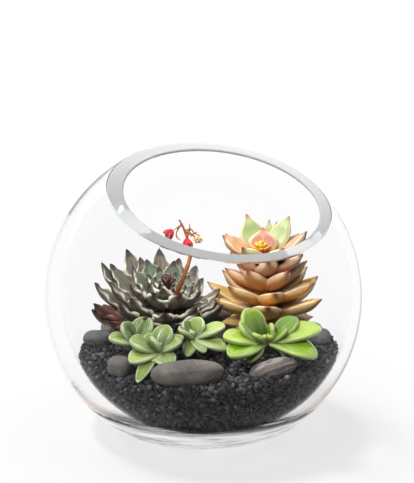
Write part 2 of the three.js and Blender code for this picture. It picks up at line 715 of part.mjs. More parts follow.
addPiece(WITHERED.name, witheredLeaves(), { ...LEAF, color: WITHERED.colour, roughness: 0.8 });
addPiece(STALK.name, flowerStalk(), { ...LEAF, color: STALK.colour });
for (const each of FLOWERS) addPiece(each.name, flower(each), { ...LEAF, color: FLOWER.colour });
addPiece(STALK_END.name, stalkEnd(), { ...LEAF, color: STALK_END.colour, roughness: 0.9 });

export default terrarium;
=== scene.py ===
"""Looks of a glass plant terrarium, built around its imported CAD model.

Sizes in the classes are millimetres, in the frame of the CAD model: the origin is the centre of the bowl's
foot, +Z is up and -Y is the front, where the mouth dips. Meshes are made in metres. Headings are degrees
from +X towards +Y.
"""

from __future__ import annotations

import json
import logging
import math
from contextlib import contextmanager
from dataclasses import dataclass, field, replace
from enum import Enum
from typing import Any, Callable, ClassVar, Iterable, Iterator, Sequence

import bpy
import numpy as np
from mathutils import Matrix, Vector, noise

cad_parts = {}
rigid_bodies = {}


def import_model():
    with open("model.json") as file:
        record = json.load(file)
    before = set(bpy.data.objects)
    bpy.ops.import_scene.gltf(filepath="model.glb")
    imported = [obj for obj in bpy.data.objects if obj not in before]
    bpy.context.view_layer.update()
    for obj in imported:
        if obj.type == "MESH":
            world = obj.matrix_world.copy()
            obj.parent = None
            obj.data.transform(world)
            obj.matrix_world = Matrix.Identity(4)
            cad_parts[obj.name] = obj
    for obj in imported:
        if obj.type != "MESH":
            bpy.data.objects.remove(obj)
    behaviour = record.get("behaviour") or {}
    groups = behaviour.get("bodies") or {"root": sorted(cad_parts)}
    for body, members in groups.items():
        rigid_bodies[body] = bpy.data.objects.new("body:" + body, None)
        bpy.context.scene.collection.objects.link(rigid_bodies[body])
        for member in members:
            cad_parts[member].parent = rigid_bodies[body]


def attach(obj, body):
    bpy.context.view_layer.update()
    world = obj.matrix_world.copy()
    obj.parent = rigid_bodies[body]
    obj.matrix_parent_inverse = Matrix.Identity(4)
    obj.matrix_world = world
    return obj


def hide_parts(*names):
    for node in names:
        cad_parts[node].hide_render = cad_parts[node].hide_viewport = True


LOG = logging.getLogger("terrarium")
MM = 0.001
BODY = "root"
GOLDEN_TURN = math.pi * (3 - math.sqrt(5))  # radians between points that spread evenly
ALL_ROUND = 6.3  # radians: the range of a turn that may point anywhere
VEIN_SCALE = 6.3  # from the width of a vein to the scale of the wave texture
UPRIGHT = 0.35  # a leaf is upright where less of its length than this share is level

Point = tuple[float, float, float]


# ---- Small tools -----------------------------------------------------------------------


def linear(hex_code: str) -> tuple[float, float, float, float]:
    """Turns an sRGB hex colour into the linear colour that shaders take.

    Args:
        hex_code: A colour such as "#6f7a6c".

    Returns:
        Red, green, blue and an alpha of 1.
    """
    values = [int(hex_code[i : i + 2], 16) / 255 for i in (1, 3, 5)]
    red, green, blue = (v / 12.92 if v <= 0.04045 else ((v + 0.055) / 1.055) ** 2.4 for v in values)
    return red, green, blue, 1.0


def add_node(
    tree: bpy.types.NodeTree, kind: str, inputs: dict[Any, Any] | None = None, **settings: Any
) -> bpy.types.Node:
    """Adds a node with its settings and links.

    Args:
        tree: The node tree that takes it.
        kind: The node's type, such as "ShaderNodeMix".
        inputs: Socket name or number to a value, or to the socket that feeds it.
        **settings: The node's own properties.

    Returns:
        The new node.
    """
    node = tree.nodes.new(kind)
    for name, value in settings.items():
        setattr(node, name, value)
    for key, value in (inputs or {}).items():
        if isinstance(value, bpy.types.NodeSocket):
            tree.links.new(value, node.inputs[key])
        else:
            node.inputs[key].default_value = value
    return node


def new_material(name: str) -> tuple[bpy.types.Material, bpy.types.NodeTree]:
    """Makes an empty node material.

    Args:
        name: The material's name.

    Returns:
        The material and its node tree.
    """
    material = bpy.data.materials.new(name)
    material.use_nodes = True
    material.node_tree.nodes.clear()
    return material, material.node_tree


def deselect_all() -> None:
    """Leaves nothing selected, so that an operator acts only on what is picked next."""
    bpy.ops.object.select_all(action="DESELECT")


def pick(obj: bpy.types.Object) -> None:
    """Selects one object alone and makes it the active one.

    Args:
        obj: The object.
    """
    deselect_all()
    obj.select_set(True)
    bpy.context.view_layer.objects.active = obj


def apply_modifiers(obj: bpy.types.Object) -> None:
    """Applies every modifier of an object, in order.

    Args:
        obj: The object.
    """
    pick(obj)
    for name in [modifier.name for modifier in obj.modifiers]:
        bpy.ops.object.modifier_apply(modifier=name)


@contextmanager
def edit_mode() -> Iterator[None]:
    """Opens the active mesh in edit mode with all of it selected, and closes it again.

    Returns:
        The context in which it is open.
    """
    bpy.ops.object.mode_set(mode="EDIT")
    bpy.ops.mesh.select_all(action="SELECT")
    yield
    bpy.ops.object.mode_set(mode="OBJECT")


def mesh_arrays(obj: bpy.types.Object) -> tuple[np.ndarray, list[tuple[int, ...]]]:
    """Reads an object's mesh.

    Args:
        obj: A mesh object at the origin.

    Returns:
        Vertex places as rows, and the vertex numbers of each face.
    """
    places = np.empty(len(obj.data.vertices) * 3)
    obj.data.vertices.foreach_get("co", places)
    return places.reshape(-1, 3), [tuple(face.vertices) for face in obj.data.polygons]


def unit(vectors: np.ndarray) -> np.ndarray:
    """Scales each row of an array to length 1."""
    return vectors / np.linalg.norm(vectors, axis=-1, keepdims=True)


def level_side(heading: float) -> np.ndarray:
    """The level direction across a leaf that points to a heading in radians."""
    return np.array([-math.sin(heading), math.cos(heading), 0])


def dress(
    obj: bpy.types.Object, material: bpy.types.Material, replaces: Sequence[str] = ()
) -> None:
    """Gives a finished piece its material and its place in the frame.

    Args:
        obj: The piece.
        material: Its material.
        replaces: CAD nodes that it stands for, if it does.
    """
    obj.data.materials.clear()
    obj.data.materials.append(material)
    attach(obj, BODY)
    if replaces:
        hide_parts(*replaces)
    LOG.info("%s: %d faces", obj.name, len(obj.data.polygons))


@dataclass
class MeshBatch:
    """Many small shapes gathered into one mesh, with numbers kept on its points."""

    places: list[np.ndarray] = field(default_factory=list)
    faces: list[np.ndarray] = field(default_factory=list)
    marks: dict[str, list[np.ndarray]] = field(default_factory=dict)
    count: int = 0

    def add(self, places: np.ndarray, faces: Sequence[Sequence[int]], **marks: np.ndarray | float) -> None:
        """Adds one shape.

        Args:
            places: Vertex places in millimetres.
            faces: Vertex numbers of its faces, all quads or all triangles.
            **marks: A number for the shape, or one for each vertex, under each attribute's name.
        """
        self.places.append(places)
        self.faces.append(np.asarray(faces, dtype=np.int64) + self.count)
        for name, value in marks.items():
            full = np.broadcast_to(np.asarray(value, dtype=float), (len(places),))
            self.marks.setdefault(name, []).append(full)
        self.count += len(places)

    def build(self, name: str) -> bpy.types.Object:
        """Makes the mesh object, in metres and shaded smooth.

        Args:
            name: The object's name.

        Returns:
            The object, linked to the scene.
        """
        mesh = bpy.data.meshes.new(name)
        faces = [tuple(face) for group in self.faces for face in group.tolist()]
        mesh.from_pydata((np.concatenate(self.places) * MM).tolist(), [], faces)
        for mark, values in self.marks.items():
            layer = mesh.attributes.new(mark, "FLOAT", "POINT")
            layer.data.foreach_set("value", np.concatenate(values).astype(np.float32))
        mesh.shade_smooth()
        obj = bpy.data.objects.new(name, mesh)
        bpy.context.scene.collection.objects.link(obj)
        return obj


# ---- Finishes --------------------------------------------------------------------------


class Axis(Enum):
    """The direction along which a skin fades."""

    DEPTH = "Y"
    HEIGHT = "Z"


@dataclass(frozen=True)
class GroundSkinAndSheen:
    """A milky skin on the glass: ground into it on the rim and the foot, and a painted sheen where the clear
    wall is seen edge-on. It scatters light where it is deepest and fades along one direction.
    """

    along: Axis
    deep_at: float  # where it is deepest, in millimetres
    gone_at: float  # where it has faded
    depth: float  # share of the light that it scatters where it is deepest
    least: float = 0.0  # the same where it has faded
    streaked: bool = False  # by the wheel, round the foot
    # Painted sheen: with this the milky layer is kept to where the wall turns edge-on.
    edge_on_sheen: bool = False  # only where the wall turns edge-on
    colour: str = "#ffffff"
    roughness: float = 0.4
    edge_turn: tuple[float, float] = (0.6, 0.85)  # how far edge-on it starts, and is full
    wheel_marks: Point = (30.0, 30.0, 380.0)  # per metre: long round the foot and thin in height
    wheel_contrast: tuple[float, float] = (0.38, 0.54)
    wheel_least: float = 0.5  # share of the depth between the marks

    def share(self, tree: bpy.types.NodeTree) -> bpy.types.NodeSocket:
        """Builds the share of the light that the skin scatters.

        Args:
            tree: The glass's nodes.

        Returns:
            The socket that gives the share.
        """
        place = add_node(tree, "ShaderNodeTexCoord").outputs["Object"]
        parts = add_node(tree, "ShaderNodeSeparateXYZ", {0: place})
        fading = {
            "Value": parts.outputs[self.along.value],
            "From Min": self.gone_at * MM,
            "From Max": self.deep_at * MM,
            "To Min": self.least,
            "To Max": self.depth,
        }
        share = add_node(tree, "ShaderNodeMapRange", fading, interpolation_type="SMOOTHSTEP").outputs[0]
        limits = []
        # Painted sheen: on the clear wall the milky layer shows only where the wall is seen edge-on.
        if self.edge_on_sheen:
            grazing = add_node(tree, "ShaderNodeLayerWeight", {"Blend": 0.5}).outputs["Facing"]
            start, full = self.edge_turn
            limits.append({"Value": grazing, "From Min": start, "From Max": full})
        if self.streaked:
            drawn_out = {0: place, 1: self.wheel_marks}
            drawn = add_node(tree, "ShaderNodeVectorMath", drawn_out, operation="MULTIPLY").outputs[0]
            streaks = {"Vector": drawn, "Scale": 1.0, "Detail": 3.0}
            wheel = add_node(tree, "ShaderNodeTexNoise", streaks).outputs["Fac"]
            start, full = self.wheel_contrast
            least = self.wheel_least
            limits.append({"Value": wheel, "From Min": start, "From Max": full, "To Min": least})
        for limit in limits:
            within = add_node(tree, "ShaderNodeMapRange", limit).outputs[0]
            share = add_node(tree, "ShaderNodeMath", {0: share, 1: within}, operation="MULTIPLY").outputs[0]
        return share


@dataclass(frozen=True)
class BlownGlass:
    """Soda-lime glass, blown: clear and colourless, and only its thick edges turn a little grey."""

    name: str = "soda_lime_glass_blown"
    roughness: float = 0.0
    tint: str = "#fdfdfd"
    shadow_tint: str = "#f4f6f5"  # of the lamps' light that passes through the wall
    mirror: str = "#9a9a9a"  # how much of the room its polished skin throws back
    glare_cut: float = 0.8  # share of that glare which a polarising filter takes away
    glare_kept: tuple[float, float] = (0.3, 0.65)  # Fresnel share where that cut fades, and is gone
    ior: float = 1.51
    body_colour: str = "#bcc6cc"
    body_density: float = 2.0  # per metre: grey where light runs along the wall
    skin: GroundSkinAndSheen | None = None

    def material(self) -> bpy.types.Material:
        """Builds the glass, which lets the lamps' light through to the plants.

        Returns:
            The material.
        """
        material, tree = new_material(self.name)
        clear = {"Roughness": self.roughness, "IOR": self.ior}
        polished = {
            "Base Color": linear(self.tint),
            "Transmission Weight": 1.0,
            "Specular Tint": linear(self.mirror),
        }
        glass = add_node(tree, "ShaderNodeBsdfPrincipled", polished | clear).outputs[0]
        unglared = {"Color": linear(self.tint)} | clear
        through = add_node(tree, "ShaderNodeBsdfRefraction", unglared).outputs[0]
        cut = {
            "Value": add_node(tree, "ShaderNodeFresnel", {"IOR": self.ior}).outputs[0],
            "From Min": self.glare_kept[0],
            "From Max": self.glare_kept[1],
            "To Min": self.glare_cut,
            "To Max": 0.0,
        }
        layers = [(add_node(tree, "ShaderNodeMapRange", cut).outputs[0], through)]
        if self.skin:
            # The milky layer: ground glass on the rim and the foot, a painted sheen on the clear wall.
            ground = {"Color": linear(self.skin.colour), "Roughness": self.skin.roughness}
            milky = add_node(tree, "ShaderNodeBsdfDiffuse", ground).outputs[0]
            layers.append((self.skin.share(tree), milky))
        tinted = {"Color": linear(self.shadow_tint)}
        let_through = add_node(tree, "ShaderNodeBsdfTransparent", tinted).outputs[0]
        layers.append((add_node(tree, "ShaderNodeLightPath").outputs["Is Shadow Ray"], let_through))
        surface = glass
        for share, layer in layers:
            surface = add_node(tree, "ShaderNodeMixShader", {0: share, 1: surface, 2: layer}).outputs[0]
        soak = {"Color": linear(self.body_colour), "Density": self.body_density}
        body = add_node(tree, "ShaderNodeVolumeAbsorption", soak).outputs[0]
        add_node(tree, "ShaderNodeOutputMaterial", {"Surface": surface, "Volume": body})
        return material


@dataclass(frozen=True)
class Stone:
    """A natural stone surface: broken or water-worn, dry, with paler and darker mineral specks."""

    name: str
    dark: str
    light: str
    speck_mm: float  # size of the mineral specks
    cloud_mm: float  # size of the paler and darker patches
    roughness: float = 0.7
    streak: str | None = None  # colour of the veins, if it has any
    streak_mm: float = 5.0  # width of a vein
    streak_tilt: float = 0.0  # degrees that the veins rise towards the right
    streak_share: float = 0.55  # how much of their colour shows
    bump_mm: float = 0.08
    toned: bool = False  # each grain has a tone of its own

    def material(self) -> bpy.types.Material:
        """Builds the stone from two sizes of noise, with veins where it has them.

        Returns:
            The material.
        """
        material, tree = new_material(self.name)
        place = add_node(tree, "ShaderNodeTexCoord").outputs["Object"]
        cloudy = {"Vector": place, "Scale": 1 / (self.cloud_mm * MM), "Detail": 3.0}
        speckled = {"Vector": place, "Scale": 1 / (self.speck_mm * MM), "Detail": 2.0, "Roughness": 0.7}
        clouds, specks = (
            add_node(tree, "ShaderNodeTexNoise", noisy).outputs["Fac"] for noisy in (cloudy, speckled)
        )
        blend = add_node(tree, "ShaderNodeMath", {0: clouds, 1: specks}, operation="ADD").outputs[0]
        if self.toned:
            tone = add_node(tree, "ShaderNodeAttribute", attribute_name="tone").outputs["Fac"]
            blend = add_node(tree, "ShaderNodeMath", {0: blend, 1: tone}, operation="ADD").outputs[0]
        patches = {"Value": blend, "From Min": 0.72, "From Max": 1.28 + 0.5 * self.toned}
        layers = [(patches, self.light)]
        if self.streak:
            tilted = {"Vector": place, "Angle": math.radians(self.streak_tilt)}
            turned = add_node(tree, "ShaderNodeVectorRotate", tilted, rotation_type="Y_AXIS").outputs[0]
            banded = {
                "Vector": turned,
                "Scale": 1 / (self.streak_mm * MM) / VEIN_SCALE,
                "Distortion": 5.0,
                "Detail": 3.0,
                "Detail Scale": 1.5,
            }
            bands = add_node(tree, "ShaderNodeTexWave", banded, bands_direction="Z").outputs["Fac"]
            veins = {"Value": bands, "From Min": 0.6, "From Max": 0.95, "To Max": self.streak_share}
            layers.append((veins, self.streak))
        colour = linear(self.dark)
        for mask, over in layers:
            share = add_node(tree, "ShaderNodeMapRange", mask).outputs[0]
            over_it = {"Factor": share, "A": colour, "B": linear(over)}
            colour = add_node(tree, "ShaderNodeMix", over_it, data_type="RGBA").outputs["Result"]
        rough = {"Height": specks, "Strength": 0.6, "Distance": self.bump_mm * MM}
        skin = {
            "Base Color": colour,
            "Roughness": self.roughness,
            "IOR": 1.5,
            "Normal": add_node(tree, "ShaderNodeBump", rough).outputs[0],
        }
        surface = add_node(tree, "ShaderNodeBsdfPrincipled", skin).outputs[0]
        add_node(tree, "ShaderNodeOutputMaterial", {"Surface": surface})
        return material


@dataclass(frozen=True)
class Leaf:
    """A living or dry leaf, coloured along, across and under each blade by the marks on its mesh.

    The marks are along (0 at the root, 1 at the tip), edge (0 on the midrib, 1 at the margin), under (1 on
    the lower face), tone (a random number for each leaf) and rank (0 for the lowest leaves, 1 for the top).
    """

    name: str
    blade: tuple[str, str, str]  # of low, middle and top leaves
    # The colour laid on towards the root and on the darker mottled patches. On the rosettes' and shoots'
    # leaves it is painted shade where they crowd at their bases; on the stalk it is the darker old skin.
    root: str
    tip: str
    margin: str
    underside: str
    tip_from: float = 0.85  # share of the length where the tip's colour starts
    margin_from: float = 0.8
    margin_full: float = 1.0
    margin_share: float = 0.9
    under_share: float = 0.8
    roughness: float = 0.5
    glow: float = 0.12  # share of the light that scatters inside the blade
    glow_reach: float = 1.5  # of red light inside it, in millimetres
    bloom: float = 0.0  # of pale wax powder, as sheen
    mottle_mm: float = 2.2
    mottle: float = 0.35  # share of the root's colour in its darker patches
    middle_rank: float = 0.5  # where the middle colour is full
    coat: float = 0.0  # of clear wax
    streak: float = 0.0  # of pale lines that run along the blade
    threads: float = 7.0  # how many of them lie across half a blade
    root_colour_and_shade_reach: float = 0.45  # share of the length that the root's colour fades over

    def material(self) -> bpy.types.Material:
        """Builds the leaf's surface, by laying each colour over the others within its own mask.

        Returns:
            The material.
        """
        material, tree = new_material(self.name)
        along, edge, under, tone, rank = (
            add_node(tree, "ShaderNodeAttribute", attribute_name=mark).outputs["Fac"]
            for mark in ("along", "edge", "under", "tone", "rank")
        )
        place = add_node(tree, "ShaderNodeTexCoord").outputs["Object"]
        mottled = {"Vector": place, "Scale": 1 / (self.mottle_mm * MM), "Detail": 3.0}
        patches = add_node(tree, "ShaderNodeTexNoise", mottled).outputs["Fac"]
        shade = add_node(tree, "ShaderNodeMath", {0: patches, 1: tone}, operation="ADD").outputs[0]
        spread = {0: edge, 1: self.threads, 2: tone}
        across = add_node(tree, "ShaderNodeMath", spread, operation="MULTIPLY_ADD").outputs[0]
        lines = add_node(tree, "ShaderNodeCombineXYZ", {0: across, 1: along, 2: tone}).outputs[0]
        drawn = {"Vector": lines, "Scale": 1.6, "Detail": 4.0}
        threads = add_node(tree, "ShaderNodeTexNoise", drawn).outputs["Fac"]
        low, middle, top = self.blade
        # Mark, where the layer starts and is full, its share there, and its colour.
        layers = (
            (rank, 0.25, self.middle_rank, 1.0, middle),
            (rank, self.middle_rank, 1.0, 1.0, top),
            # Painted shade: each leaf darkens towards its root, where the leaves crowd and overlap; on the
            # stalk this is its darker old skin.
            (along, self.root_colour_and_shade_reach, 0.05, 1.0, self.root),
            (shade, 0.65, 1.35, self.mottle, self.root),
            (threads, 0.48, 0.66, self.streak, self.margin),
            (under, 0.4, 0.6, self.under_share, self.underside),
            (edge, self.margin_from, self.margin_full, self.margin_share, self.margin),
            (along, self.tip_from, 1.0, 1.0, self.tip),
        )
        colour = linear(low)
        for mark, start, full, most, over in layers:
            mask = {"Value": mark, "From Min": start, "From Max": full, "To Max": most}
            share = add_node(tree, "ShaderNodeMapRange", mask, interpolation_type="SMOOTHSTEP").outputs[0]
            over_it = {"Factor": share, "A": colour, "B": linear(over)}
            colour = add_node(tree, "ShaderNodeMix", over_it, data_type="RGBA").outputs["Result"]
        uneven = {"Height": patches, "Strength": 0.3, "Distance": 0.15 * MM}
        skin = {
            "Base Color": colour,
            "Roughness": self.roughness,
            "IOR": 1.4,
            "Subsurface Weight": self.glow,
            "Subsurface Radius": (1.0, 0.8, 0.35),
            "Subsurface Scale": self.glow_reach * MM,
            "Coat Weight": self.coat,
            "Coat Roughness": 0.12,
            "Sheen Weight": self.bloom,
            "Sheen Roughness": 0.5,
            "Normal": add_node(tree, "ShaderNodeBump", uneven).outputs[0],
        }
        surface = add_node(tree, "ShaderNodeBsdfPrincipled", skin).outputs[0]
        add_node(tree, "ShaderNodeOutputMaterial", {"Surface": surface})
        return material


# Fire-polished: a clear mirror of the room, with a painted sheen low down where the wall turns edge-on: a
# little warm milky white.
CLEAR_GLASS = BlownGlass(skin=GroundSkinAndSheen(Axis.HEIGHT, 24.0, 48.0, 0.85, edge_on_sheen=True, colour="#f6ebe5"))
# Ground flat on the rim and half polished again: a grey sheen, milkier at the back than in front.
GROUND_GLASS = BlownGlass(
    "soda_lime_glass_ground",
    roughness=0.08,
    skin=GroundSkinAndSheen(Axis.DEPTH, 50.0, -50.0, 0.75, 0.42, colour="#eef0ef"),
)
# Ground round the foot with a wheel and left frosted: it scatters white, in fine level streaks.
FROSTED_GLASS = BlownGlass(
    "soda_lime_glass_frosted",
    skin=GroundSkinAndSheen(Axis.HEIGHT, 16.5, 21.5, 0.97, streaked=True),
)
# Crushed basalt, graded and dry: near-black matt grains with paler broken faces.
GRAVEL = Stone("crushed_basalt_gravel", "#050505", "#737176", speck_mm=0.9, cloud_mm=14, toned=True)
# River slate, tumbled smooth: even mid grey with a dusty face.
GREY_PEBBLE = Stone("river_slate_tumbled", "#4a4a4c", "#7b7a7c", speck_mm=0.8, cloud_mm=7)
# River mudstone, tumbled: warm brown-grey and a little smoother.
BROWN_PEBBLE = Stone(
    "river_mudstone_tumbled", "#504a47", "#878079", speck_mm=0.9, cloud_mm=9, roughness=0.6
)
# Banded siltstone: brown-grey with thin tan veins along it.
STREAKED_PEBBLE = Stone(
    "banded_siltstone_tumbled",
    "#4c4646",
    "#76706f",
    speck_mm=0.9,
    cloud_mm=8,
    streak="#a3968c",
    streak_mm=1.3,
    streak_tilt=17.0,
)
# Basalt, tumbled: near black and satin.
BLACK_PEBBLE = Stone("basalt_tumbled", "#181617", "#3b3738", speck_mm=0.8, cloud_mm=8, roughness=0.5)

# Echeveria leaf: grey-green under a wax bloom, cream margin, liver-red underside and dark tip, darkened to
# near black towards the root by painted shade.
ECHEVERIA_LEAF = Leaf(
    "echeveria_leaf_waxy",
    blade=("#7d7567", "#818f7b", "#93a18b"),
    root="#1b2410",
    tip="#3f1d1f",
    margin="#f3f1e0",
    underside="#5c4b42",
    tip_from=0.9,
    margin_from=0.84,
    margin_full=0.96,
    streak=0.3,
    root_colour_and_shade_reach=0.85,
    bloom=0.03,
    roughness=0.38,
    mottle=0.55,
)
# Its youngest leaves and sepals: liver red, satin.
ECHEVERIA_HEART = Leaf(
    "echeveria_sepal_satin",
    blade=("#5a2a26", "#6b2f2b", "#8a4a40"),
    root="#3c1a18",
    tip="#2e1413",
    margin="#a88476",
    underside="#4a2220",
)
# Dry leaf tissue: crisp, matt, red-brown with straw edges.
DRY_LEAF = Leaf(
    "dry_leaf_papery",
    blade=("#4d2c24", "#7d5046", "#b0887a"),
    root="#23130e",
    tip="#2a1510",
    margin="#c9a592",
    underside="#6a4038",
    roughness=0.7,
    glow=0.0,
    mottle=0.8,
    mottle_mm=2,
    margin_share=0.7,
    streak=0.5,
)
# Ghost plant leaf: plump and powdery, ochre below, salmon pink in the middle and pale green at the top.
# Painted shade darkens it towards the root, and its pale margin is partly its own pale edge, partly a
# painted highlight along the edges.
GHOST_LEAF = Leaf(
    "ghost_plant_leaf_powdery",
    blade=("#d8a41c", "#c8897a", "#9caf74"),
    middle_rank=0.8,
    streak=0.4,
    root="#8a5e16",
    tip="#9a4a3a",
    margin="#fbe6c4",
    underside="#c4952e",
    tip_from=0.93,
    margin_from=0.74,
    margin_full=0.94,
    margin_share=0.5,
    under_share=0.3,
    bloom=0.05,
    roughness=0.4,
    mottle=0.3,
    mottle_mm=5,
)
# Its flower buds: waxy yellow-green with orange-red tips.
GHOST_HEART = Leaf(
    "ghost_plant_bud_waxy",
    blade=("#c8401c", "#c9a02c", "#c3c23a"),
    root="#a03a18",
    tip="#e2d65e",
    tip_from=0.93,
    margin="#dcc04c",
    underside="#b8541f",
    under_share=0.25,
)
# Stonecrop leaf under a thin clear wax: pale green and satin, darkened towards the root by painted shade.
PALE_SEDUM_LEAF = Leaf(
    "stonecrop_leaf_bloomy",
    blade=("#5b7322", "#7a913c", "#a0b25e"),
    root="#283c08",
    root_colour_and_shade_reach=0.75,
    tip="#c3c78a",
    margin="#e6edcb",
    underside="#6c8228",
    margin_from=0.72,
    margin_full=0.95,
    margin_share=0.5,
    tip_from=0.95,
    streak=0.4,
    bloom=0.02,
    coat=0.5,
    roughness=0.34,
    glow=0.15,
    mottle_mm=5,
)
# Stonecrop leaf, thin wax: bright yellow-green and glossy, darkened towards the root by painted shade.
BRIGHT_SEDUM_LEAF = replace(
    PALE_SEDUM_LEAF,
    name="stonecrop_leaf_glossy",
    blade=("#628c00", "#7aa00c", "#a6c044"),
    root="#1f3a00",
    tip="#b9bf62",
    margin="#d3e38c",
    underside="#74921c",
    margin_share=0.55,
    streak=0.35,
    bloom=0.0,
    coat=0.9,
    roughness=0.3,
    mottle=0.45,
    mottle_mm=6,
)
# Flower stalk skin: orange-brown and satin, darker where it is old.
STALK_SKIN = Leaf(
    "flower_stalk_skin",
    blade=("#c07a40", "#b0692f", "#9a5a2c"),
    root="#8c4a20",
    tip="#3a1a12",
    margin="#c98a55",
    underside="#8a4520",
    margin_share=0.0,
    mottle=0.5,
    mottle_mm=3,
)
# Echeveria petal: waxy coral red, paler inside.
RED_PETAL = Leaf(
    "echeveria_petal_waxy",
    blade=("#c8303c", "#d23c48", "#e0606a"),
    root="#a31322",
    tip="#e88f7a",
    margin="#e2606a",
    underside="#c01c2b",
    roughness=0.35,
    mottle=0.2,
)
# Dry seed fluff: tan, matt and hairy.
TAN_FLUFF = Leaf(
    "seed_fluff_dry",
    blade=("#c59a5c", "#cfa768", "#e2c391"),
    root="#9c7038",
    tip="#f0dcb8",
    margin="#ecd4a8",
    underside="#b98a4c",
    roughness=0.9,
    glow=0.05,
)


# ---- Bowl ------------------------------------------------------------------------------


@dataclass
class Bowl:
    """The blown glass bowl: an eccentric bubble with a ground and fire-polished slanting rim."""

    radius: float = 90.0
    centre_height: float = 76.3
    cavity_radius: float = 83.2
    cavity_shift: Point = (1.6, 0.0, 1.0)
    floor_height: float = 12.5
    mouth_tilt: float = 19.1
    mouth_facing: float = -64.8
    mouth_distance: float = 65.2  # of the rim's plane from the bubble's centre
    outer_round: float = 2.5  # radius of the rim's outer shoulder
    inner_round: float = 0.9
    lip: float = 0.3  # how far the rim is thickened inwards
    lip_depth: float = 5.0
    rim_steps: int = 9
    rim_band: float = 1.2  # how far the grinding reaches down the rim's inner side
    rim_flat: float = 0.2  # the same on its outer side
    foot_flat: float = 32.0  # radius of the flat that it stands on
    foot_round: float = 50.0  # radius of the wall's turn into the foot
    foot_turn: float = 0.6  # share of that radius over which the wall turns
    foot_reach: float = 0.25  # share of centre_height up to which the foot is shaped
    foot_ground: float = 22.0  # height below which the outer face takes the frosted finish
    floor_blend: float = 4.5  # how softly the cavity's floor runs into its wall
    ripple: float = 0.04  # depth of the blown inner face's waves
    ripple_reach: float = 40.0  # height above the floor where they have faded
    ripple_waves: tuple[tuple[float, float], ...] = ((45.0, 1.0), (130.0, 0.4))  # per metre, share
    segments: int = 168
    rings: int = 140

    @property
    def centre(self) -> Vector:
        """The bubble's centre."""
        return Vector((0.0, 0.0, self.centre_height))

    @property
    def cavity_centre(self) -> Vector:
        """The cavity's centre."""
        return self.centre + Vector(self.cavity_shift)

    @property
    def mouth_axis(self) -> Vector:
        """The direction that the mouth faces.

        Returns:
            A vector of length 1.
        """
        tilt, facing = math.radians(self.mouth_tilt), math.radians(self.mouth_facing)
        level = math.sin(tilt)
        return Vector((level * math.cos(facing), level * math.sin(facing), math.cos(tilt)))

    def _shell(self, radius: float, centre: Vector, edge: float) -> bpy.types.Object:
        """Cuts a ball open at the mouth and rolls its edge until it lies in the mouth's plane.

        Args:
            radius: Of the ball.
            centre: Of the ball.
            edge: The rolled edge's radius, less than 0 where the glass lies outside the ball.

        Returns:
            The open shell.
        """
        axis = self.mouth_axis
        deselect_all()
        bpy.ops.mesh.primitive_uv_sphere_add(
            segments=self.segments,
            ring_count=self.rings,
            radius=radius * MM,
            location=centre * MM,
            rotation=axis.to_track_quat("Z", "X").to_euler(),
        )
        shell = bpy.context.object
        bpy.ops.object.transform_apply(location=True, rotation=True, scale=True)
        top = self.mouth_distance - (centre - self.centre).dot(axis)
        turn_height = top - abs(edge)
        turn_radius = math.sqrt((radius - edge) ** 2 - turn_height**2)
        start = math.acos(turn_height / (radius - edge)) - (math.pi if edge < 0 else 0.0)
        height = turn_height + abs(edge) * math.cos(start)
        here = turn_radius + abs(edge) * math.sin(start)
        cut = (centre + axis * height) * MM
        with edit_mode():
            bpy.ops.mesh.bisect(plane_co=cut, plane_no=axis, clear_outer=True, threshold=1e-7)
            for step in range(1, self.rim_steps + 1):
                turn = start * (1 - step / self.rim_steps)
                rise = turn_height + abs(edge) * math.cos(turn)
                there = turn_radius + abs(edge) * math.sin(turn)
                lift = {"value": axis * (rise - height) * MM}
                bpy.ops.mesh.extrude_region_move(TRANSFORM_OT_translate=lift)
                middle = (centre + axis * rise) * MM
                bpy.ops.transform.resize(value=(there / here,) * 3, center_override=middle)
                height, here = rise, there
        return shell

    def build(
        self, clear: bpy.types.Material, ground: bpy.types.Material, frosted: bpy.types.Material
    ) -> None:
        """Makes the bowl from its outer and inner shells.

        Args:
            clear: The blown glass.
            ground: The same glass where the rim is ground flat.
            frosted: The same glass round the foot.
        """
        inner = self._shell(self.cavity_radius, self.cavity_centre, -self.inner_round)
        with edit_mode():
            bpy.ops.mesh.flip_normals()
        self._thicken_lip(inner)
        self._round_floor(inner)
        self._ripple(inner)
        outer = self._shell(self.radius, self.centre, self.outer_round)
        self._round_foot(outer)
        pick(outer)
        inner.select_set(True)
        bpy.ops.object.join()
        with edit_mode():
            bpy.ops.mesh.select_mode(type="EDGE")
            bpy.ops.mesh.select_all(action="DESELECT")
            bpy.ops.mesh.select_non_manifold()
            bpy.ops.mesh.bridge_edge_loops()
        outer.name = outer.data.name = "blown_glass_bowl"
        bpy.ops.object.shade_smooth()
        dress(outer, clear, ["glass_bowl"])
        outer.data.materials.append(ground)
        outer.data.materials.append(frosted)
        for face in outer.data.polygons:
            below = self.mouth_distance - (face.center / MM - self.centre).dot(self.mouth_axis)
            inward = (face.center - self.centre * MM).dot(face.normal) < 0
            rim = below < self.rim_flat or (below < self.rim_band and inward)
            foot = face.center.z < self.foot_ground * MM and face.normal.z < 0
            face.material_index = 2 if foot else int(rim)

    def _thicken_lip(self, shell: bpy.types.Object) -> None:
        """Draws the inner wall in towards the mouth's axis just below the rim.

        Args:
            shell: The cavity's shell.
        """
        axis, centre = self.mouth_axis, self.cavity_centre * MM
        top = (self.centre + axis * self.mouth_distance) * MM
        for vertex in shell.data.vertices:
            depth = (top - vertex.co).dot(axis) / MM
            out = vertex.co - centre - axis * (vertex.co - centre).dot(axis)
            if depth < 3 * self.lip_depth and out.length > 0:
                near_lip = math.exp(-((depth / self.lip_depth) ** 2))
                vertex.co -= out.normalized() * self.lip * near_lip * MM

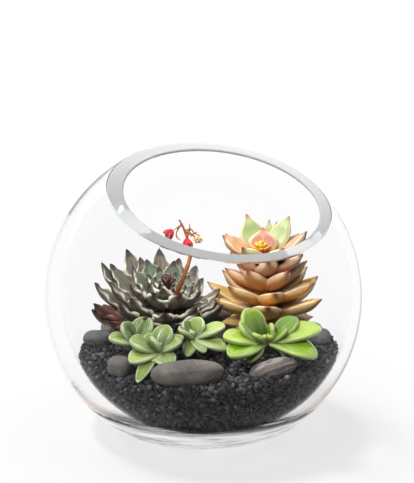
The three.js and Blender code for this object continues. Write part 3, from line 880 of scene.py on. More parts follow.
    def _round_floor(self, shell: bpy.types.Object) -> None:
        """Presses the cavity's bottom flat, with a soft turn into its wall.

        Args:
            shell: The cavity's shell.
        """
        for vertex in shell.data.vertices:
            above = vertex.co.z / MM - self.floor_height
            soft = 0.5 * (above + math.sqrt(above**2 + self.floor_blend**2))
            vertex.co.z = (self.floor_height + soft) * MM

    def _round_foot(self, shell: bpy.types.Object) -> None:
        """Rolls the bottom of the bubble into a flat foot.

        Args:
            shell: The bubble's shell.
        """
        for vertex in shell.data.vertices:
            past = math.hypot(vertex.co.x, vertex.co.y) / MM - self.foot_flat
            height = 0.0
            if 0 < past < self.foot_turn * self.foot_round:
                height = self.foot_round - math.sqrt(self.foot_round**2 - past**2)
            if vertex.co.z < self.foot_reach * self.centre_height * MM:
                vertex.co.z = max(vertex.co.z, height * MM)

    def _ripple(self, shell: bpy.types.Object) -> None:
        """Gives the inner face the slow waves of blown glass near the foot.

        Args:
            shell: The cavity's shell.
        """
        for vertex in shell.data.vertices:
            low = min(1.0, max(0.0, 1 - (vertex.co.z / MM - self.floor_height) / self.ripple_reach))
            way = (vertex.co - self.cavity_centre * MM).normalized()
            wave = sum(share * noise.noise(vertex.co * pitch) for pitch, share in self.ripple_waves)
            vertex.co += way * wave * low * self.ripple * MM


# ---- Gravel and stones -----------------------------------------------------------------


@dataclass
class GravelBed:
    """The bed of crushed basalt: loose grains laid over a dark core, with air between them and the glass."""

    bowl: Bowl
    surface: float = 45.2  # height of its top at the bowl's axis
    slope: tuple[float, float] = (0.02, -0.068)
    grain: float = 2.8  # across
    grain_kinds: int = 6
    broken: tuple[float, float] = (0.72, 1.2)  # how near and far its corners lie, as shares of its size
    sizes: tuple[float, float] = (0.7, 1.3)  # of grains, as shares of the usual one
    stretch: tuple[float, float] = (0.8, 1.2)  # of a grain in each direction
    stray: float = 0.22  # of a grain from its place, as a share of its size
    tone: tuple[float, float] = (0.32, -0.42)  # spread towards pale, and the darkest
    # The core shows only in the gaps between the grains; its tone, darker than any grain's, is painted shade
    # there.
    core_gap_shade_tone: float = -0.45
    core_drop: float = 0.6  # of the core's top below the bed's
    side_pitch: float = 0.8  # between grains at the glass, as a share of their size
    disc_pitch: float = 0.82  # the same on the bed's top and its floor
    top_inset: float = 1.5  # of the top's outermost grains from the cavity's wall
    floor_inset: float = 1.0  # of the floor's
    air: float = 0.5  # between the grains and the glass
    stem_depth: float = 2.0  # how deep the stems stand in it
    seed: int = 7

    def height(self, x: Any, y: Any) -> Any:
        """Height of the bed's top at a place, or at rows of places."""
        return self.surface + self.slope[0] * x + self.slope[1] * y

    def stem_foot(self, x: float, y: float) -> np.ndarray:
        """The foot of a stem that stands in the gravel."""
        return np.array([x, y, self.height(x, y) - self.stem_depth])

    def _grain_shapes(self, rng: np.random.Generator) -> list[tuple[np.ndarray, np.ndarray]]:
        """Models each kind of broken grain once.

        Args:
            rng: The random source.

        Returns:
            Vertex places on about a unit ball, and faces, for each.
        """
        shapes = []
        for _ in range(self.grain_kinds):
            deselect_all()
            bpy.ops.mesh.primitive_ico_sphere_add(subdivisions=1, radius=1.0)
            obj = bpy.context.object
            places, faces = mesh_arrays(obj)
            bpy.data.objects.remove(obj)
            places = places * rng.uniform(*self.broken, (len(places), 1))
            shapes.append((places, np.array(faces)))
        return shapes

    def _side(self, rng: np.random.Generator) -> np.ndarray:
        """Spreads grain centres evenly over the bed's side.

        Args:
            rng: The random source.

        Returns:
            Centres as rows.
        """
        centre = np.array(self.bowl.cavity_centre)
        reach = self.bowl.cavity_radius - self.air - self.grain * 0.5
        pitch = self.grain * self.side_pitch
        count = int(4 * math.pi * reach**2 / pitch**2)
        turns = GOLDEN_TURN * np.arange(count)
        z = 1 - (2 * np.arange(count) + 1) / count
        around = np.sqrt(1 - z**2)
        ball = np.stack([around * np.cos(turns), around * np.sin(turns), z], axis=1)
        ball = centre + ball * reach + rng.normal(0, self.stray * self.grain, (count, 3)) * 0.8
        floor = self.bowl.floor_height + self.air + self.grain * 0.5
        top = self.height(ball[:, 0], ball[:, 1])
        return ball[(ball[:, 2] > floor) & (ball[:, 2] < top)]

    def _disc(
        self, rng: np.random.Generator, height_at: Callable[[np.ndarray, np.ndarray], Any], reach: float
    ) -> np.ndarray:
        """Spreads grain centres evenly over a disc, level or sloping.

        Args:
            rng: The random source.
            height_at: Gives the height for rows of x and y.
            reach: The disc's radius.

        Returns:
            Centres as rows.
        """
        pitch = self.grain * self.disc_pitch
        count = int(math.pi * reach**2 / pitch**2)
        turns = GOLDEN_TURN * np.arange(count)
        out = reach * np.sqrt((np.arange(count) + 0.5) / count)
        flat = np.stack([out * np.cos(turns), out * np.sin(turns)], axis=1)
        flat += rng.normal(0, 0.2 * self.grain, flat.shape) + np.array(self.bowl.cavity_shift[:2])
        up = height_at(flat[:, 0], flat[:, 1]) + rng.normal(0, self.stray * self.grain, count)
        return np.column_stack([flat, up])

    def _lay(self, name: str, centres: np.ndarray, rng: np.random.Generator) -> bpy.types.Object:
        """Lays a grain, turned and sized at random, at each centre.

        Args:
            name: Of the piece.
            centres: As rows.
            rng: The random source.

        Returns:
            The piece.
        """
        shapes = self._grain_shapes(rng)
        batch = MeshBatch()
        middle = np.array(self.bowl.cavity_centre)
        limit = self.bowl.cavity_radius - self.air
        for place in centres:
            points, faces = shapes[rng.integers(len(shapes))]
            turn = np.array(Matrix.Rotation(rng.uniform(0, ALL_ROUND), 3, Vector(rng.normal(size=3))))
            half = 0.5 * self.grain * rng.uniform(*self.sizes) * rng.uniform(*self.stretch, 3)
            points = place + (points * half) @ turn.T
            out = points - middle
            far = np.linalg.norm(out, axis=1, keepdims=True)
            points = middle + out * np.minimum(1, limit / far)
            points[:, 2] = np.maximum(points[:, 2], self.bowl.floor_height + self.air)
            spread, darkest = self.tone
            batch.add(points, faces, tone=rng.exponential(spread) + darkest)
        return batch.build(name)

    def _reach(self, height: float) -> float:
        """The cavity's radius at a height."""
        return math.sqrt(self.bowl.cavity_radius**2 - (self.bowl.cavity_centre.z - height) ** 2)

    def build(self, material: bpy.types.Material) -> None:
        """Makes the core and the grains over it.

        Args:
            material: The gravel.
        """
        rng = np.random.default_rng(self.seed)
        dress(self._core(), material, ["gravel_bed"])
        side = self._side(rng)
        reach = self._reach(self.surface)
        top = self._disc(rng, self.height, reach - self.top_inset)
        top = top[np.hypot(top[:, 0] - self.bowl.cavity_shift[0], top[:, 1]) < reach]
        bottom = self.bowl.floor_height + self.air + self.grain * 0.4
        floor_reach = self._reach(self.bowl.floor_height) - self.floor_inset
        floor = self._disc(rng, lambda x, y: np.full(len(x), bottom), floor_reach)
        for place, centres in (("side", side), ("top", top), ("floor", floor)):
            piece = self._lay(f"gravel_{place}_grains", centres, rng)
            piece.data.shade_flat()
            dress(piece, material)

    def _core(self) -> bpy.types.Object:
        """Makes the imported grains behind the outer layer, as a ball cut at the floor and at the bed's top.

        Returns:
            The core.
        """
        inside = self.bowl.cavity_radius - self.air - self.grain * 0.75
        centre = self.bowl.cavity_centre
        deselect_all()
        bpy.ops.mesh.primitive_uv_sphere_add(
            segments=96, ring_count=64, radius=inside * MM, location=centre * MM
        )
        core = bpy.context.object
        bpy.ops.object.transform_apply(location=True, rotation=True, scale=True)
        floor = Vector((0, 0, self.bowl.floor_height + self.air + self.grain * 0.5))
        top = Vector((0, 0, self.surface - self.core_drop))
        upward = Vector((-self.slope[0], -self.slope[1], 1)).normalized()
        for place, way in ((floor, Vector((0, 0, -1))), (top, upward)):
            with edit_mode():
                bpy.ops.mesh.bisect(plane_co=place * MM, plane_no=way, clear_outer=True, use_fill=True)
        core.name = core.data.name = "gravel_core"
        # Painted shade: the core takes a tone darker than any grain, for the gaps between them.
        tone = core.data.attributes.new("tone", "FLOAT", "POINT")
        tones = np.full(len(core.data.vertices), self.core_gap_shade_tone, dtype=np.float32)
        tone.data.foreach_set("value", tones)
        return core


@dataclass(frozen=True)
class Pebble:
    """One tumbled stone that lies on the gravel."""

    name: str
    at: tuple[float, float]
    half: Point
    heading: float
    finish: Stone
    slot: str
    sunk: float = 1.4
    tilt: float = 0.0  # degrees that its right end is raised
    squareness: float = 2.3  # 2 is an ellipsoid
    base: float = 0.94  # share of its half sizes before the lumps
    lumps: tuple[tuple[float, float], ...] = ((0.9, 0.1), (2.6, 0.03))  # how close, and how high

    def build(self, bed: GravelBed, material: bpy.types.Material) -> None:
        """Shapes the stone from a ball and seats it in the bed.

        Args:
            bed: The gravel that it lies on.
            material: Its stone.
        """
        x, y = self.at
        deselect_all()
        bpy.ops.mesh.primitive_ico_sphere_add(subdivisions=5, radius=1.0)
        stone = bpy.context.object
        seed = Vector((x, y, self.half[0]))
        for vertex in stone.data.vertices:
            way = vertex.co.copy()
            lumps = (rise * noise.noise(way * close + seed) for close, rise in self.lumps)
            squared = sum(abs(part) ** self.squareness for part in way) ** (1 / self.squareness)
            vertex.co = way * sum(lumps, self.base) / squared
        bpy.ops.transform.resize(value=tuple(length * MM for length in self.half))
        bpy.ops.object.transform_apply(location=False, rotation=False, scale=True)
        turned = Matrix.Rotation(math.radians(self.heading), 4, "Z")
        tilted = Matrix.Rotation(math.radians(-self.tilt), 4, "Y") @ turned
        centre = Vector((x, y, bed.height(x, y) + self.half[2] - self.sunk))
        stone.data.transform(Matrix.Translation(centre * MM) @ tilted)
        stone.name = stone.data.name = f"stone_{self.name}"
        stone.data.shade_smooth()
        dress(stone, material, [f"pebble_{self.name}"])


PEBBLES = [
    Pebble("front_large", (-7.8, -67.5), (19.5, 7.6, 7.0), 3, BROWN_PEBBLE, "brown_pebble"),
    Pebble("front_streaked", (37.0, -57.0), (13.6, 6.5, 5.2), 12, STREAKED_PEBBLE, "brown_pebble", tilt=13),
    Pebble("front_left", (-44.0, -49.5), (7.6, 5.5, 6.2), -30, BROWN_PEBBLE, "brown_pebble"),
    Pebble("left", (-64.0, 8.0), (9.8, 7.5, 5.0), -8, GREY_PEBBLE, "grey_pebble"),
    Pebble("left_back", (-56.5, 28.5), (8.0, 8.0, 6.0), 15, BROWN_PEBBLE, "brown_pebble"),
    Pebble("left_front", (-60.0, -14.5), (8.0, 6.5, 4.2), 25, GREY_PEBBLE, "grey_pebble", sunk=7.3),
    Pebble("left_inner", (-39.0, -12.0), (8.5, 7.0, 5.4), 40, BLACK_PEBBLE, "black_pebble"),
    Pebble("back_left", (-30.0, 50.0), (13.0, 10.0, 7.0), 15, BROWN_PEBBLE, "brown_pebble"),
    Pebble("middle", (5.5, 2.0), (11.0, 7.0, 6.0), -8, BLACK_PEBBLE, "black_pebble"),
    Pebble("middle_front", (3.5, -18.0), (8.0, 5.5, 5.0), 12, BLACK_PEBBLE, "black_pebble"),
    Pebble("back", (6.0, 54.0), (12.0, 9.0, 6.5), -12, BROWN_PEBBLE, "brown_pebble"),
    Pebble("right_inner", (35.0, -13.5), (10.5, 6.0, 4.6), 6, BLACK_PEBBLE, "black_pebble"),
    Pebble("right_black", (54.5, 38.0), (9.0, 7.0, 6.6), 18, BLACK_PEBBLE, "black_pebble"),
    Pebble("right_back", (63.0, 19.0), (7.5, 6.5, 5.2), -20, GREY_PEBBLE, "grey_pebble"),
    Pebble("right", (68.0, 3.0), (6.5, 6.5, 5.0), 25, GREY_PEBBLE, "grey_pebble"),
    Pebble("right_front", (55.0, -8.0), (7.5, 6.0, 4.6), -30, BLACK_PEBBLE, "black_pebble"),
]


# ---- Leaves ----------------------------------------------------------------------------


class Edge(Enum):
    """How a leaf's margin runs."""

    PLAIN = "plain"
    WAVED = "waved"


@dataclass(frozen=True)
class LeafForm:
    """The shape that all leaves of one plant share."""

    thickness: float
    root_width: float  # share of the full width
    widest: float  # share of the length
    tip_slope: float  # how full the end is: smaller is rounder
    dome: float  # share of the thickness that is above the margin
    cup: float  # how far the margins turn up, as a share of the width
    spike: float = 0.0  # length of the point at the tip
    margin: float = 0.5  # thickness at the margin
    edge: Edge = Edge.PLAIN
    wave: float = 0.0
    waves: float = 4.0  # along each margin
    fold: float = 0.0  # depth of the crease along the midrib, as a share of the width


@dataclass
class LeafBlank:
    """A flat closed leaf on a grid, modelled once and shaped anew for every leaf."""

    columns: int  # faces from margin to margin
    rows: int  # faces from root to tip
    crowding: float = 1.35  # of its rows towards the tip
    least_share: float = 0.015  # of the width, at the root and the tip
    belly: float = 2.2  # how full its cross-section is
    crease: float = 0.22  # width of the crease on the midrib, as a share of half the leaf's
    ruffle_from: float = 0.25  # share of the length where the margin's waves start
    ruffle_over: float = 0.35  # share of the length over which they grow
    ruffle_swing: float = 0.14  # of a waved margin in and out, as a share of the width
    spike_from: float = 0.93  # share of the length
    tip_edge: float = 0.95  # how much of the margin's colour the tip takes

    def __post_init__(self) -> None:
        """Models the blank."""
        deselect_all()
        bpy.ops.mesh.primitive_grid_add(x_subdivisions=self.columns, y_subdivisions=self.rows, size=2.0)
        blank = bpy.context.object
        wall = blank.modifiers.new("wall", "SOLIDIFY")
        wall.thickness, wall.offset = 2.0, 0.0
        apply_modifiers(blank)
        places, faces = mesh_arrays(blank)
        bpy.data.objects.remove(blank)
        self.faces = np.array(faces)
        self.across = places[:, 0]
        share = (places[:, 1] + 1) / 2
        self.along = np.clip(1 - (1 - share) ** self.crowding, 0, 1)
        self.above = np.sign(places[:, 2])

    def _half_width(self, form: LeafForm) -> np.ndarray:
        """Finds how wide the leaf is at each point's place along it.

        Args:
            form: The plant's leaf shape.

        Returns:
            Shares of the full half width.
        """
        quarter = np.pi / 2 * np.clip(self.along / form.widest, 0, 1)
        rising = form.root_width + (1 - form.root_width) * np.sin(quarter)
        past = np.clip((self.along - form.widest) / (1 - form.widest), 0, 1)
        falling = np.power(1 - past**2 + 1e-9, form.tip_slope) * (1 - 0.25 * past**2)
        return np.where(self.along < form.widest, rising, falling)

    def shape(
        self, form: LeafForm, spine: Spine, side: np.ndarray, width: float, rng: np.random.Generator
    ) -> np.ndarray:
        """Bends a copy of the blank into a leaf.

        Args:
            form: The plant's leaf shape.
            spine: The leaf's run from root to tip.
            side: The direction across the leaf.
            width: At its widest.
            rng: The random source for its waves.

        Returns:
            Vertex places in millimetres.
        """
        middle, tangent = spine.run(self.along)
        up = unit(np.cross(tangent, side))
        share = np.maximum(self._half_width(form), self.least_share)
        half = width / 2 * share
        u = self.across
        body = np.sqrt(np.clip(1 - np.abs(u) ** self.belly, 0, 1)) * np.minimum(1, 1.3 * share)
        rim = form.margin / 2 * np.minimum(1, 3 * share)
        top = form.thickness * form.dome * body + rim
        bottom = form.thickness * (1 - form.dome) * body + rim
        height = np.where(self.above > 0, top, -bottom)
        height += form.cup * width * share * np.abs(u) ** 2
        height -= form.fold * width * share * np.exp(-((u / self.crease) ** 2))
        if form.edge is Edge.WAVED:
            phase = rng.uniform(0, 2 * np.pi, 4)
            first = np.where(u > 0, phase[0], phase[1]) + 2 * np.pi * form.waves * self.along
            second = np.where(u > 0, phase[2], phase[3]) + 3.5 * np.pi * form.waves * self.along
            grown = np.clip((self.along - self.ruffle_from) / self.ruffle_over, 0, 1)
            reach = grown * np.minimum(1, 2 * share)
            ruffle = np.abs(u) ** 4 * reach * (0.65 * np.sin(first) + 0.35 * np.sin(second))
            height += form.wave * ruffle
            half = half * (1 + self.ruffle_swing * np.abs(u) ** 4 * reach * np.cos(second))
        spike = form.spike * np.clip((self.along - self.spike_from) / 0.07, 0, 1) ** 2
        return middle + side * (u * half)[:, None] + up * height[:, None] + tangent * spike[:, None]

    def grow(
        self,
        batch: MeshBatch,
        form: LeafForm,
        spine: Spine,
        side: np.ndarray,
        width: float,
        rank: float,
        rng: np.random.Generator,
        tones: float = 0.1,
    ) -> None:
        """Shapes a leaf and adds it to a plant.

        Args:
            batch: The plant's mesh.
            form: The plant's leaf shape.
            spine: The leaf's run from root to tip.
            side: The direction across the leaf.
            width: At its widest.
            rank: 0 for the lowest leaves and 1 for the top ones.
            rng: The random source.
            tones: How much the plant's leaves differ in tone.
        """
        places = self.shape(form, spine, side, width, rng)
        batch.add(places, self.faces, **self.marks(rng.normal(0, tones), rank))

    def marks(self, tone: float, rank: float) -> dict[str, np.ndarray | float]:
        """The numbers that colour one leaf.

        Args:
            tone: Of the whole leaf.
            rank: 0 for the lowest leaves and 1 for the top ones.

        Returns:
            The marks by name.
        """
        at_tip = np.clip((self.along - 0.9) / 0.08, 0, 1)
        return {
            "along": self.along,
            "edge": np.maximum(np.abs(self.across), self.tip_edge * at_tip),
            "under": (self.above < 0).astype(float),
            "tone": tone,
            "rank": rank,
        }


@dataclass(frozen=True)
class Spine:
    """A leaf's run, as points that a smooth line joins."""

    points: np.ndarray
    steps: ClassVar[int] = 24

    @classmethod
    def bent(cls, root: Sequence[float], heading: float, rise: float, bend: float, length: float) -> Spine:
        """A run that starts in one slope and bends evenly into another.

        Args:
            root: Where it starts.
            heading: In radians.
            rise: The first slope in radians.
            bend: How much steeper its tip is, in radians.
            length: Along the run.

        Returns:
            The spine.
        """
        slopes = rise + bend * (np.arange(cls.steps) + 0.5) / cls.steps
        out = np.concatenate([[0], np.cumsum(np.cos(slopes))]) * length / cls.steps
        up = np.concatenate([[0], np.cumsum(np.sin(slopes))]) * length / cls.steps
        run = np.stack([out * math.cos(heading), out * math.sin(heading), up], axis=1)
        return cls(np.asarray(root) + run)

    @classmethod
    def arched(
        cls, root: Sequence[float], tip: Sequence[float], arch: float, outward: Sequence[float] = (0, 0, 1)
    ) -> Spine:
        """A run from root to tip that bulges upwards, or another way.

        Args:
            root: Where it starts.
            tip: Where it ends.
            arch: Rise of its control point, as a share of its length.
            outward: The way that it bulges.

        Returns:
            The spine.
        """
        a, c = np.asarray(root, float), np.asarray(tip, float)
        b = (a + c) / 2 + np.asarray(outward, float) * arch * np.linalg.norm(c - a)
        t = np.linspace(0, 1, cls.steps + 1)[:, None]
        return cls(a * (1 - t) ** 2 + 2 * b * t * (1 - t) + c * t**2)

    def run(self, along: np.ndarray) -> tuple[np.ndarray, np.ndarray]:
        """Places and directions at shares of the run.

        Args:
            along: Shares from 0 to 1.

        Returns:
            Places and unit directions as rows.
        """
        t = np.linspace(0, 1, len(self.points))
        ways = unit(np.gradient(self.points, axis=0))
        place = np.stack([np.interp(along, t, self.points[:, k]) for k in range(3)], axis=1)
        way = np.stack([np.interp(along, t, ways[:, k]) for k in range(3)], axis=1)
        return place, unit(way)

    def moved(self, turn: np.ndarray, place: Sequence[float]) -> Spine:
        """The same run, turned and then put in place."""
        return Spine(self.points @ turn.T + np.asarray(place))


@dataclass(frozen=True)
class Ring:
    """One ring of leaves. Angles are degrees, and at is its height above the rosette's foot."""

    count: int
    first: float
    step: float
    at: float
    rise: float
    bend: float
    length: float
    width: float


@dataclass(frozen=True)
class SetLeaf:
    """A leaf that is placed one by one."""

    root: Point
    tip: Point
    width: float
    rank: float
    facing: Point  # where its upper face looks
    arch: float = 0.1

    def add_to(self, batch: MeshBatch, blank: LeafBlank, form: LeafForm, rng: np.random.Generator) -> None:
        """Adds the leaf to a plant.

        Args:
            batch: The plant's mesh.
            blank: The leaf blank.
            form: The plant's leaf shape.
            rng: The random source.
        """
        root, tip = np.array(self.root, float), np.array(self.tip, float)
        way, facing = unit(tip - root), np.array(self.facing, float)
        side = unit(np.cross(facing, way))
        spine = Spine.arched(root, tip, -self.arch, np.cross(way, side))
        blank.grow(batch, form, spine, side, self.width, self.rank, rng)


@dataclass
class Rosette:
    """A rosette of leaves in rings round a short stem."""

    name: str
    node: str
    slot: str
    foot: Point
    lean: float
    lean_heading: float
    stem: tuple[float, float, float]  # radius, then the radius and height of the core it widens into
    crowd: tuple[float, float]  # heading where leaves are shorter, and by what share
    rings: list[Ring]
    form: LeafForm
    seed: int
    wild: float = 1.0  # how far leaves stray from the rule
    strays: Sequence[float] = (4.0, 0.05, 3.0, 5.0, 7.0)  # of heading, length, rise, bend and twist
    tones: float = 0.15
    top_leaves: list[SetLeaf] = field(default_factory=list)

    def build(self, blank: LeafBlank, bed: GravelBed, material: bpy.types.Material) -> None:
        """Grows the rosette.

        Args:
            blank: The leaf blank.
            bed: The gravel that its stem stands in.
            material: Its leaves' finish.
        """
        rng = np.random.default_rng(self.seed)
        hinge = Vector(level_side(math.radians(self.lean_heading)))
        turn = np.array(Matrix.Rotation(math.radians(self.lean), 3, hinge))
        batch = MeshBatch()
        top = max(ring.at for ring in self.rings)
        for ring in self.rings:
            for number in range(ring.count):
                turned, longer, raised, bowed, twisted = self.strays * rng.normal(0, self.wild, 5)
                heading = math.radians(ring.first + ring.step * number + turned)
                facing = max(0.0, math.cos(heading - math.radians(self.crowd[0])))
                length = ring.length * (1 - self.crowd[1] * facing**4) * (1 + longer)
                rise, bend = math.radians(ring.rise + raised), math.radians(ring.bend + bowed)
                spine = Spine.bent((0, 0, ring.at), heading, rise, bend, length).moved(turn, self.foot)
                twist = math.radians(twisted)
                side = turn @ (level_side(heading) * math.cos(twist) + np.array([0, 0, math.sin(twist)]))
                blank.grow(batch, self.form, spine, side, ring.width, ring.at / top, rng, self.tones)
        for leaf in self.top_leaves:
            leaf.add_to(batch, blank, self.form, rng)
        self._stem(batch, bed, turn)
        dress(batch.build(self.name), material, [self.node])

    def _stem(self, batch: MeshBatch, bed: GravelBed, turn: np.ndarray) -> None:
        """Adds the core that the leaves grow from and the stem down to the gravel.

        Args:
            batch: The rosette's mesh.
            bed: The gravel.
            turn: The rosette's lean.
        """
        radius, core, height = self.stem
        x, y, z = self.foot
        axis = turn @ np.array([0, 0, 1.0])
        foot = np.array(self.foot)
        stations = [
            (bed.stem_foot(x, y), radius),
            (np.array([x, y, z - 2]), radius),
            (foot - axis, core),
            (foot + axis * (height * 0.5), core * 0.8),
            (foot + axis * (height - 1), core * 0.5),
            (foot + axis * height, core * 0.1),
        ]
        places, faces, along = tube_arrays(stations, sides=12)
        batch.add(places, faces, along=along * 0.2, edge=0.0, under=1.0, tone=0.3, rank=0.0)


def tube_arrays(
    stations: Sequence[tuple[np.ndarray, float]], sides: int
) -> tuple[np.ndarray, np.ndarray, np.ndarray]:
    """A round tube through stations, closed by a small ring at each end.

    Args:
        stations: Centre and radius of each.
        sides: Of the tube.

    Returns:
        Vertex places, quads, and each vertex's share of the way along.
    """
    centres = np.array([centre for centre, _ in stations])
    ways = unit(np.gradient(centres, axis=0))
    helper = np.array([0.3, -1.0, 0.1])
    rings = []
    for (centre, radius), way in zip(stations, ways):
        a = np.cross(way, helper)
        a /= np.linalg.norm(a)
        b = np.cross(way, a)
        turn = 2 * np.pi * np.arange(sides) / sides
        rings.append(centre + radius * (np.cos(turn)[:, None] * a + np.sin(turn)[:, None] * b))
    faces = []
    for k in range(len(stations) - 1):
        for i in range(sides):
            j = (i + 1) % sides
            faces.append((k * sides + i, k * sides + j, (k + 1) * sides + j, (k + 1) * sides + i))
    last = (len(stations) - 1) * sides
    for i in range(0, sides - 2, 2):
        faces.append((0, (i + 3) % sides, i + 2, i + 1) if i + 3 <= sides else (0, i + 2, i + 1, 0))
        faces.append((last, last + i + 1, last + i + 2, last + (i + 3) % sides))
    along = np.repeat(np.arange(len(stations)) / (len(stations) - 1), sides)
    return np.concatenate(rings), np.array(faces), along


def across_leaf(root: np.ndarray, tip: np.ndarray) -> np.ndarray:
    """The direction across a leaf: level, and nearer +X where the leaf is upright.

    Args:
        root: Where the leaf starts.
        tip: Where it ends.

    Returns:
        A direction of length 1.
    """
    way = tip - root
    level = np.array([-way[1], way[0], 0.0])
    if np.linalg.norm(level) < UPRIGHT * np.linalg.norm(way):
        level[0] += np.linalg.norm(way)
    level -= way * (level @ way) / (way @ way)
    return unit(level)


ECHEVERIA = Rosette(
    name="echeveria_rosette",
    node="echeveria",
    slot="echeveria_leaf",
    foot=(-22.5, 11, 63.5),
    lean=14,
    lean_heading=-72,
    stem=(4, 8, 14),
    crowd=(22, 0.42),
    rings=[
        Ring(11, -2, 32.7, 0, -9, 71, 47, 13.5),
        Ring(10, 16, 36, 2, -6, 66, 40, 13),
        Ring(9, 8, 40, 5, 10, 52, 28, 12.5),
        Ring(8, 30, 45, 8, 22, 42, 18, 11),
        Ring(6, 50, 60, 10, 38, 26, 12, 7.5),
        Ring(5, 60, 72, 11, 56, 14, 8, 6),
    ],
    form=LeafForm(
        thickness=2.6, root_width=0.25, widest=0.68, tip_slope=0.58, dome=0.2, cup=0.15, spike=2.2,
        margin=0.6, edge=Edge.WAVED, wave=1.15, waves=3.6,
    ),
    seed=11,
)
GHOST_PLANT = Rosette(
    name="ghost_plant_rosette",
    node="ghost_plant",
    slot="ghost_plant_leaf",
    foot=(36, 15, 50),
    lean=2,
    lean_heading=180,
    stem=(4, 8, 54),
    crowd=(190, 0.1),
    rings=[
        Ring(7, -75, 51.4, 8, -10, 8, 29, 15),
        Ring(6, -30, 60, 10, 16, 16, 40, 17),
        Ring(6, -84, 60, 19, 18, 18, 32, 15.5),
        Ring(6, -57, 60, 27, 20, 18, 29, 14),
        Ring(6, -86, 60, 35, 24, 18, 27, 13.5),
        Ring(5, -56, 72, 43, 20, 16, 24, 13),
    ],
    top_leaves=[
        SetLeaf((31, 12, 97), (25.2, 20, 117.8), 14.0, 1.0, (0.25, -0.9, 0.35)),
        SetLeaf((38, 13, 97), (48.8, 20, 116.6), 12.0, 1.0, (-0.35, -0.85, 0.3)),
        SetLeaf((36, 16, 99), (38.0, 24, 113.5), 7.5, 0.95, (0.0, -0.9, 0.3)),
        SetLeaf((38, 15, 99), (42.1, 23, 112.6), 7.0, 0.5, (-0.2, -0.9, 0.3)),
        SetLeaf((34.2, 10, 97), (34.3, 15, 111.1), 16.5, 0.72, (0.0, -0.95, 0.3)),
        SetLeaf((29, 9, 98), (12.2, 7, 109.3), 11.0, 0.62, (0.3, -0.5, 0.8)),
        SetLeaf((42, 10, 97), (58.1, 11, 110.4), 9.0, 0.85, (-0.5, -0.1, 0.85)),
        SetLeaf((36, 18, 95), (37, 38, 106), 12.0, 0.9, (0.0, -0.4, 0.9)),
        SetLeaf((30, 16, 94), (14, 30, 104), 12.0, 0.8, (0.3, -0.4, 0.9)),
        SetLeaf((41, 16, 94), (56, 28, 104), 12.0, 0.8, (-0.3, -0.4, 0.9)),
    ],
    form=LeafForm(
        thickness=5.2, root_width=0.45, widest=0.55, tip_slope=0.66, dome=0.35, cup=0.1, spike=1.9,
        margin=0.8,
    ),
    seed=5,
    wild=0.8,
)


@dataclass
class Shoot:
    """A leafy shoot whose plump leaves spread from its heart."""

    name: str
    node: str
    slot: str
    heart: Point
    stem_foot: tuple[float, float]
    leaves: list[tuple[Point, float, float]]  # tip, width, rank
    seed: int
    form: LeafForm = LeafForm(
        thickness=4.0, root_width=0.42, widest=0.58, tip_slope=0.46, dome=0.36, cup=0.07, spike=0.2,
        margin=1.0, fold=0.03,
    )
    plump: float = 0.27  # thickness as a share of the width
    arch: float = 0.12
    faced: float = 0.5  # how far the upper faces turn to the front
    tones: float = 0.12
    buds: int = 3
    bud_spread: float = 2.2
    bud_forward: float = 1.0
    bud_height: float = 5.5
    bud_width: float = 3.6
    stem_radius: float = 1.6

    def build(self, blank: LeafBlank, bed: GravelBed, material: bpy.types.Material) -> None:
        """Grows the shoot.

        Args:
            blank: The leaf blank.
            bed: The gravel that its stem stands in.
            material: Its leaves' finish.
        """
        rng = np.random.default_rng(self.seed)
        batch = MeshBatch()
        heart = np.array(self.heart, float)
        for tip, width, rank in self.leaves:
            end = np.array(tip, float)
            form = replace(self.form, thickness=width * self.plump)
            spine = Spine.arched(heart, end, self.arch)
            side = across_leaf(heart, end)
            to_front = unit(np.cross(np.array([0.0, -self.faced, 1.0]), end - heart))
            side = unit(side + to_front) if abs(side @ to_front) > 0.2 else side
            side = side * np.sign(side @ to_front or 1.0)
            blank.grow(batch, form, spine, side, width, rank, rng, self.tones)
        form = replace(self.form, thickness=self.bud_width / 2)
        for number in range(self.buds):
            turn = 2 * math.pi * number / self.buds + rng.uniform(0, 1)
            out, forward = self.bud_spread * math.cos(turn), self.bud_spread * math.sin(turn)
            end = heart + np.array([out, forward - self.bud_forward, self.bud_height])
            spine = Spine.arched(heart, end, 0.0)
            blank.grow(batch, form, spine, level_side(turn), self.bud_width, 1.0, rng)
        foot = bed.stem_foot(*self.stem_foot)
        ends = [(foot + (heart - foot) * share, self.stem_radius) for share in (0, 0.35, 0.7, 1.02)]
        places, faces, along = tube_arrays(ends, sides=10)
        batch.add(places, faces, along=along * 0.3, edge=0.0, under=0.0, tone=0.1, rank=0.0)
        dress(batch.build(self.name), material, [self.node])


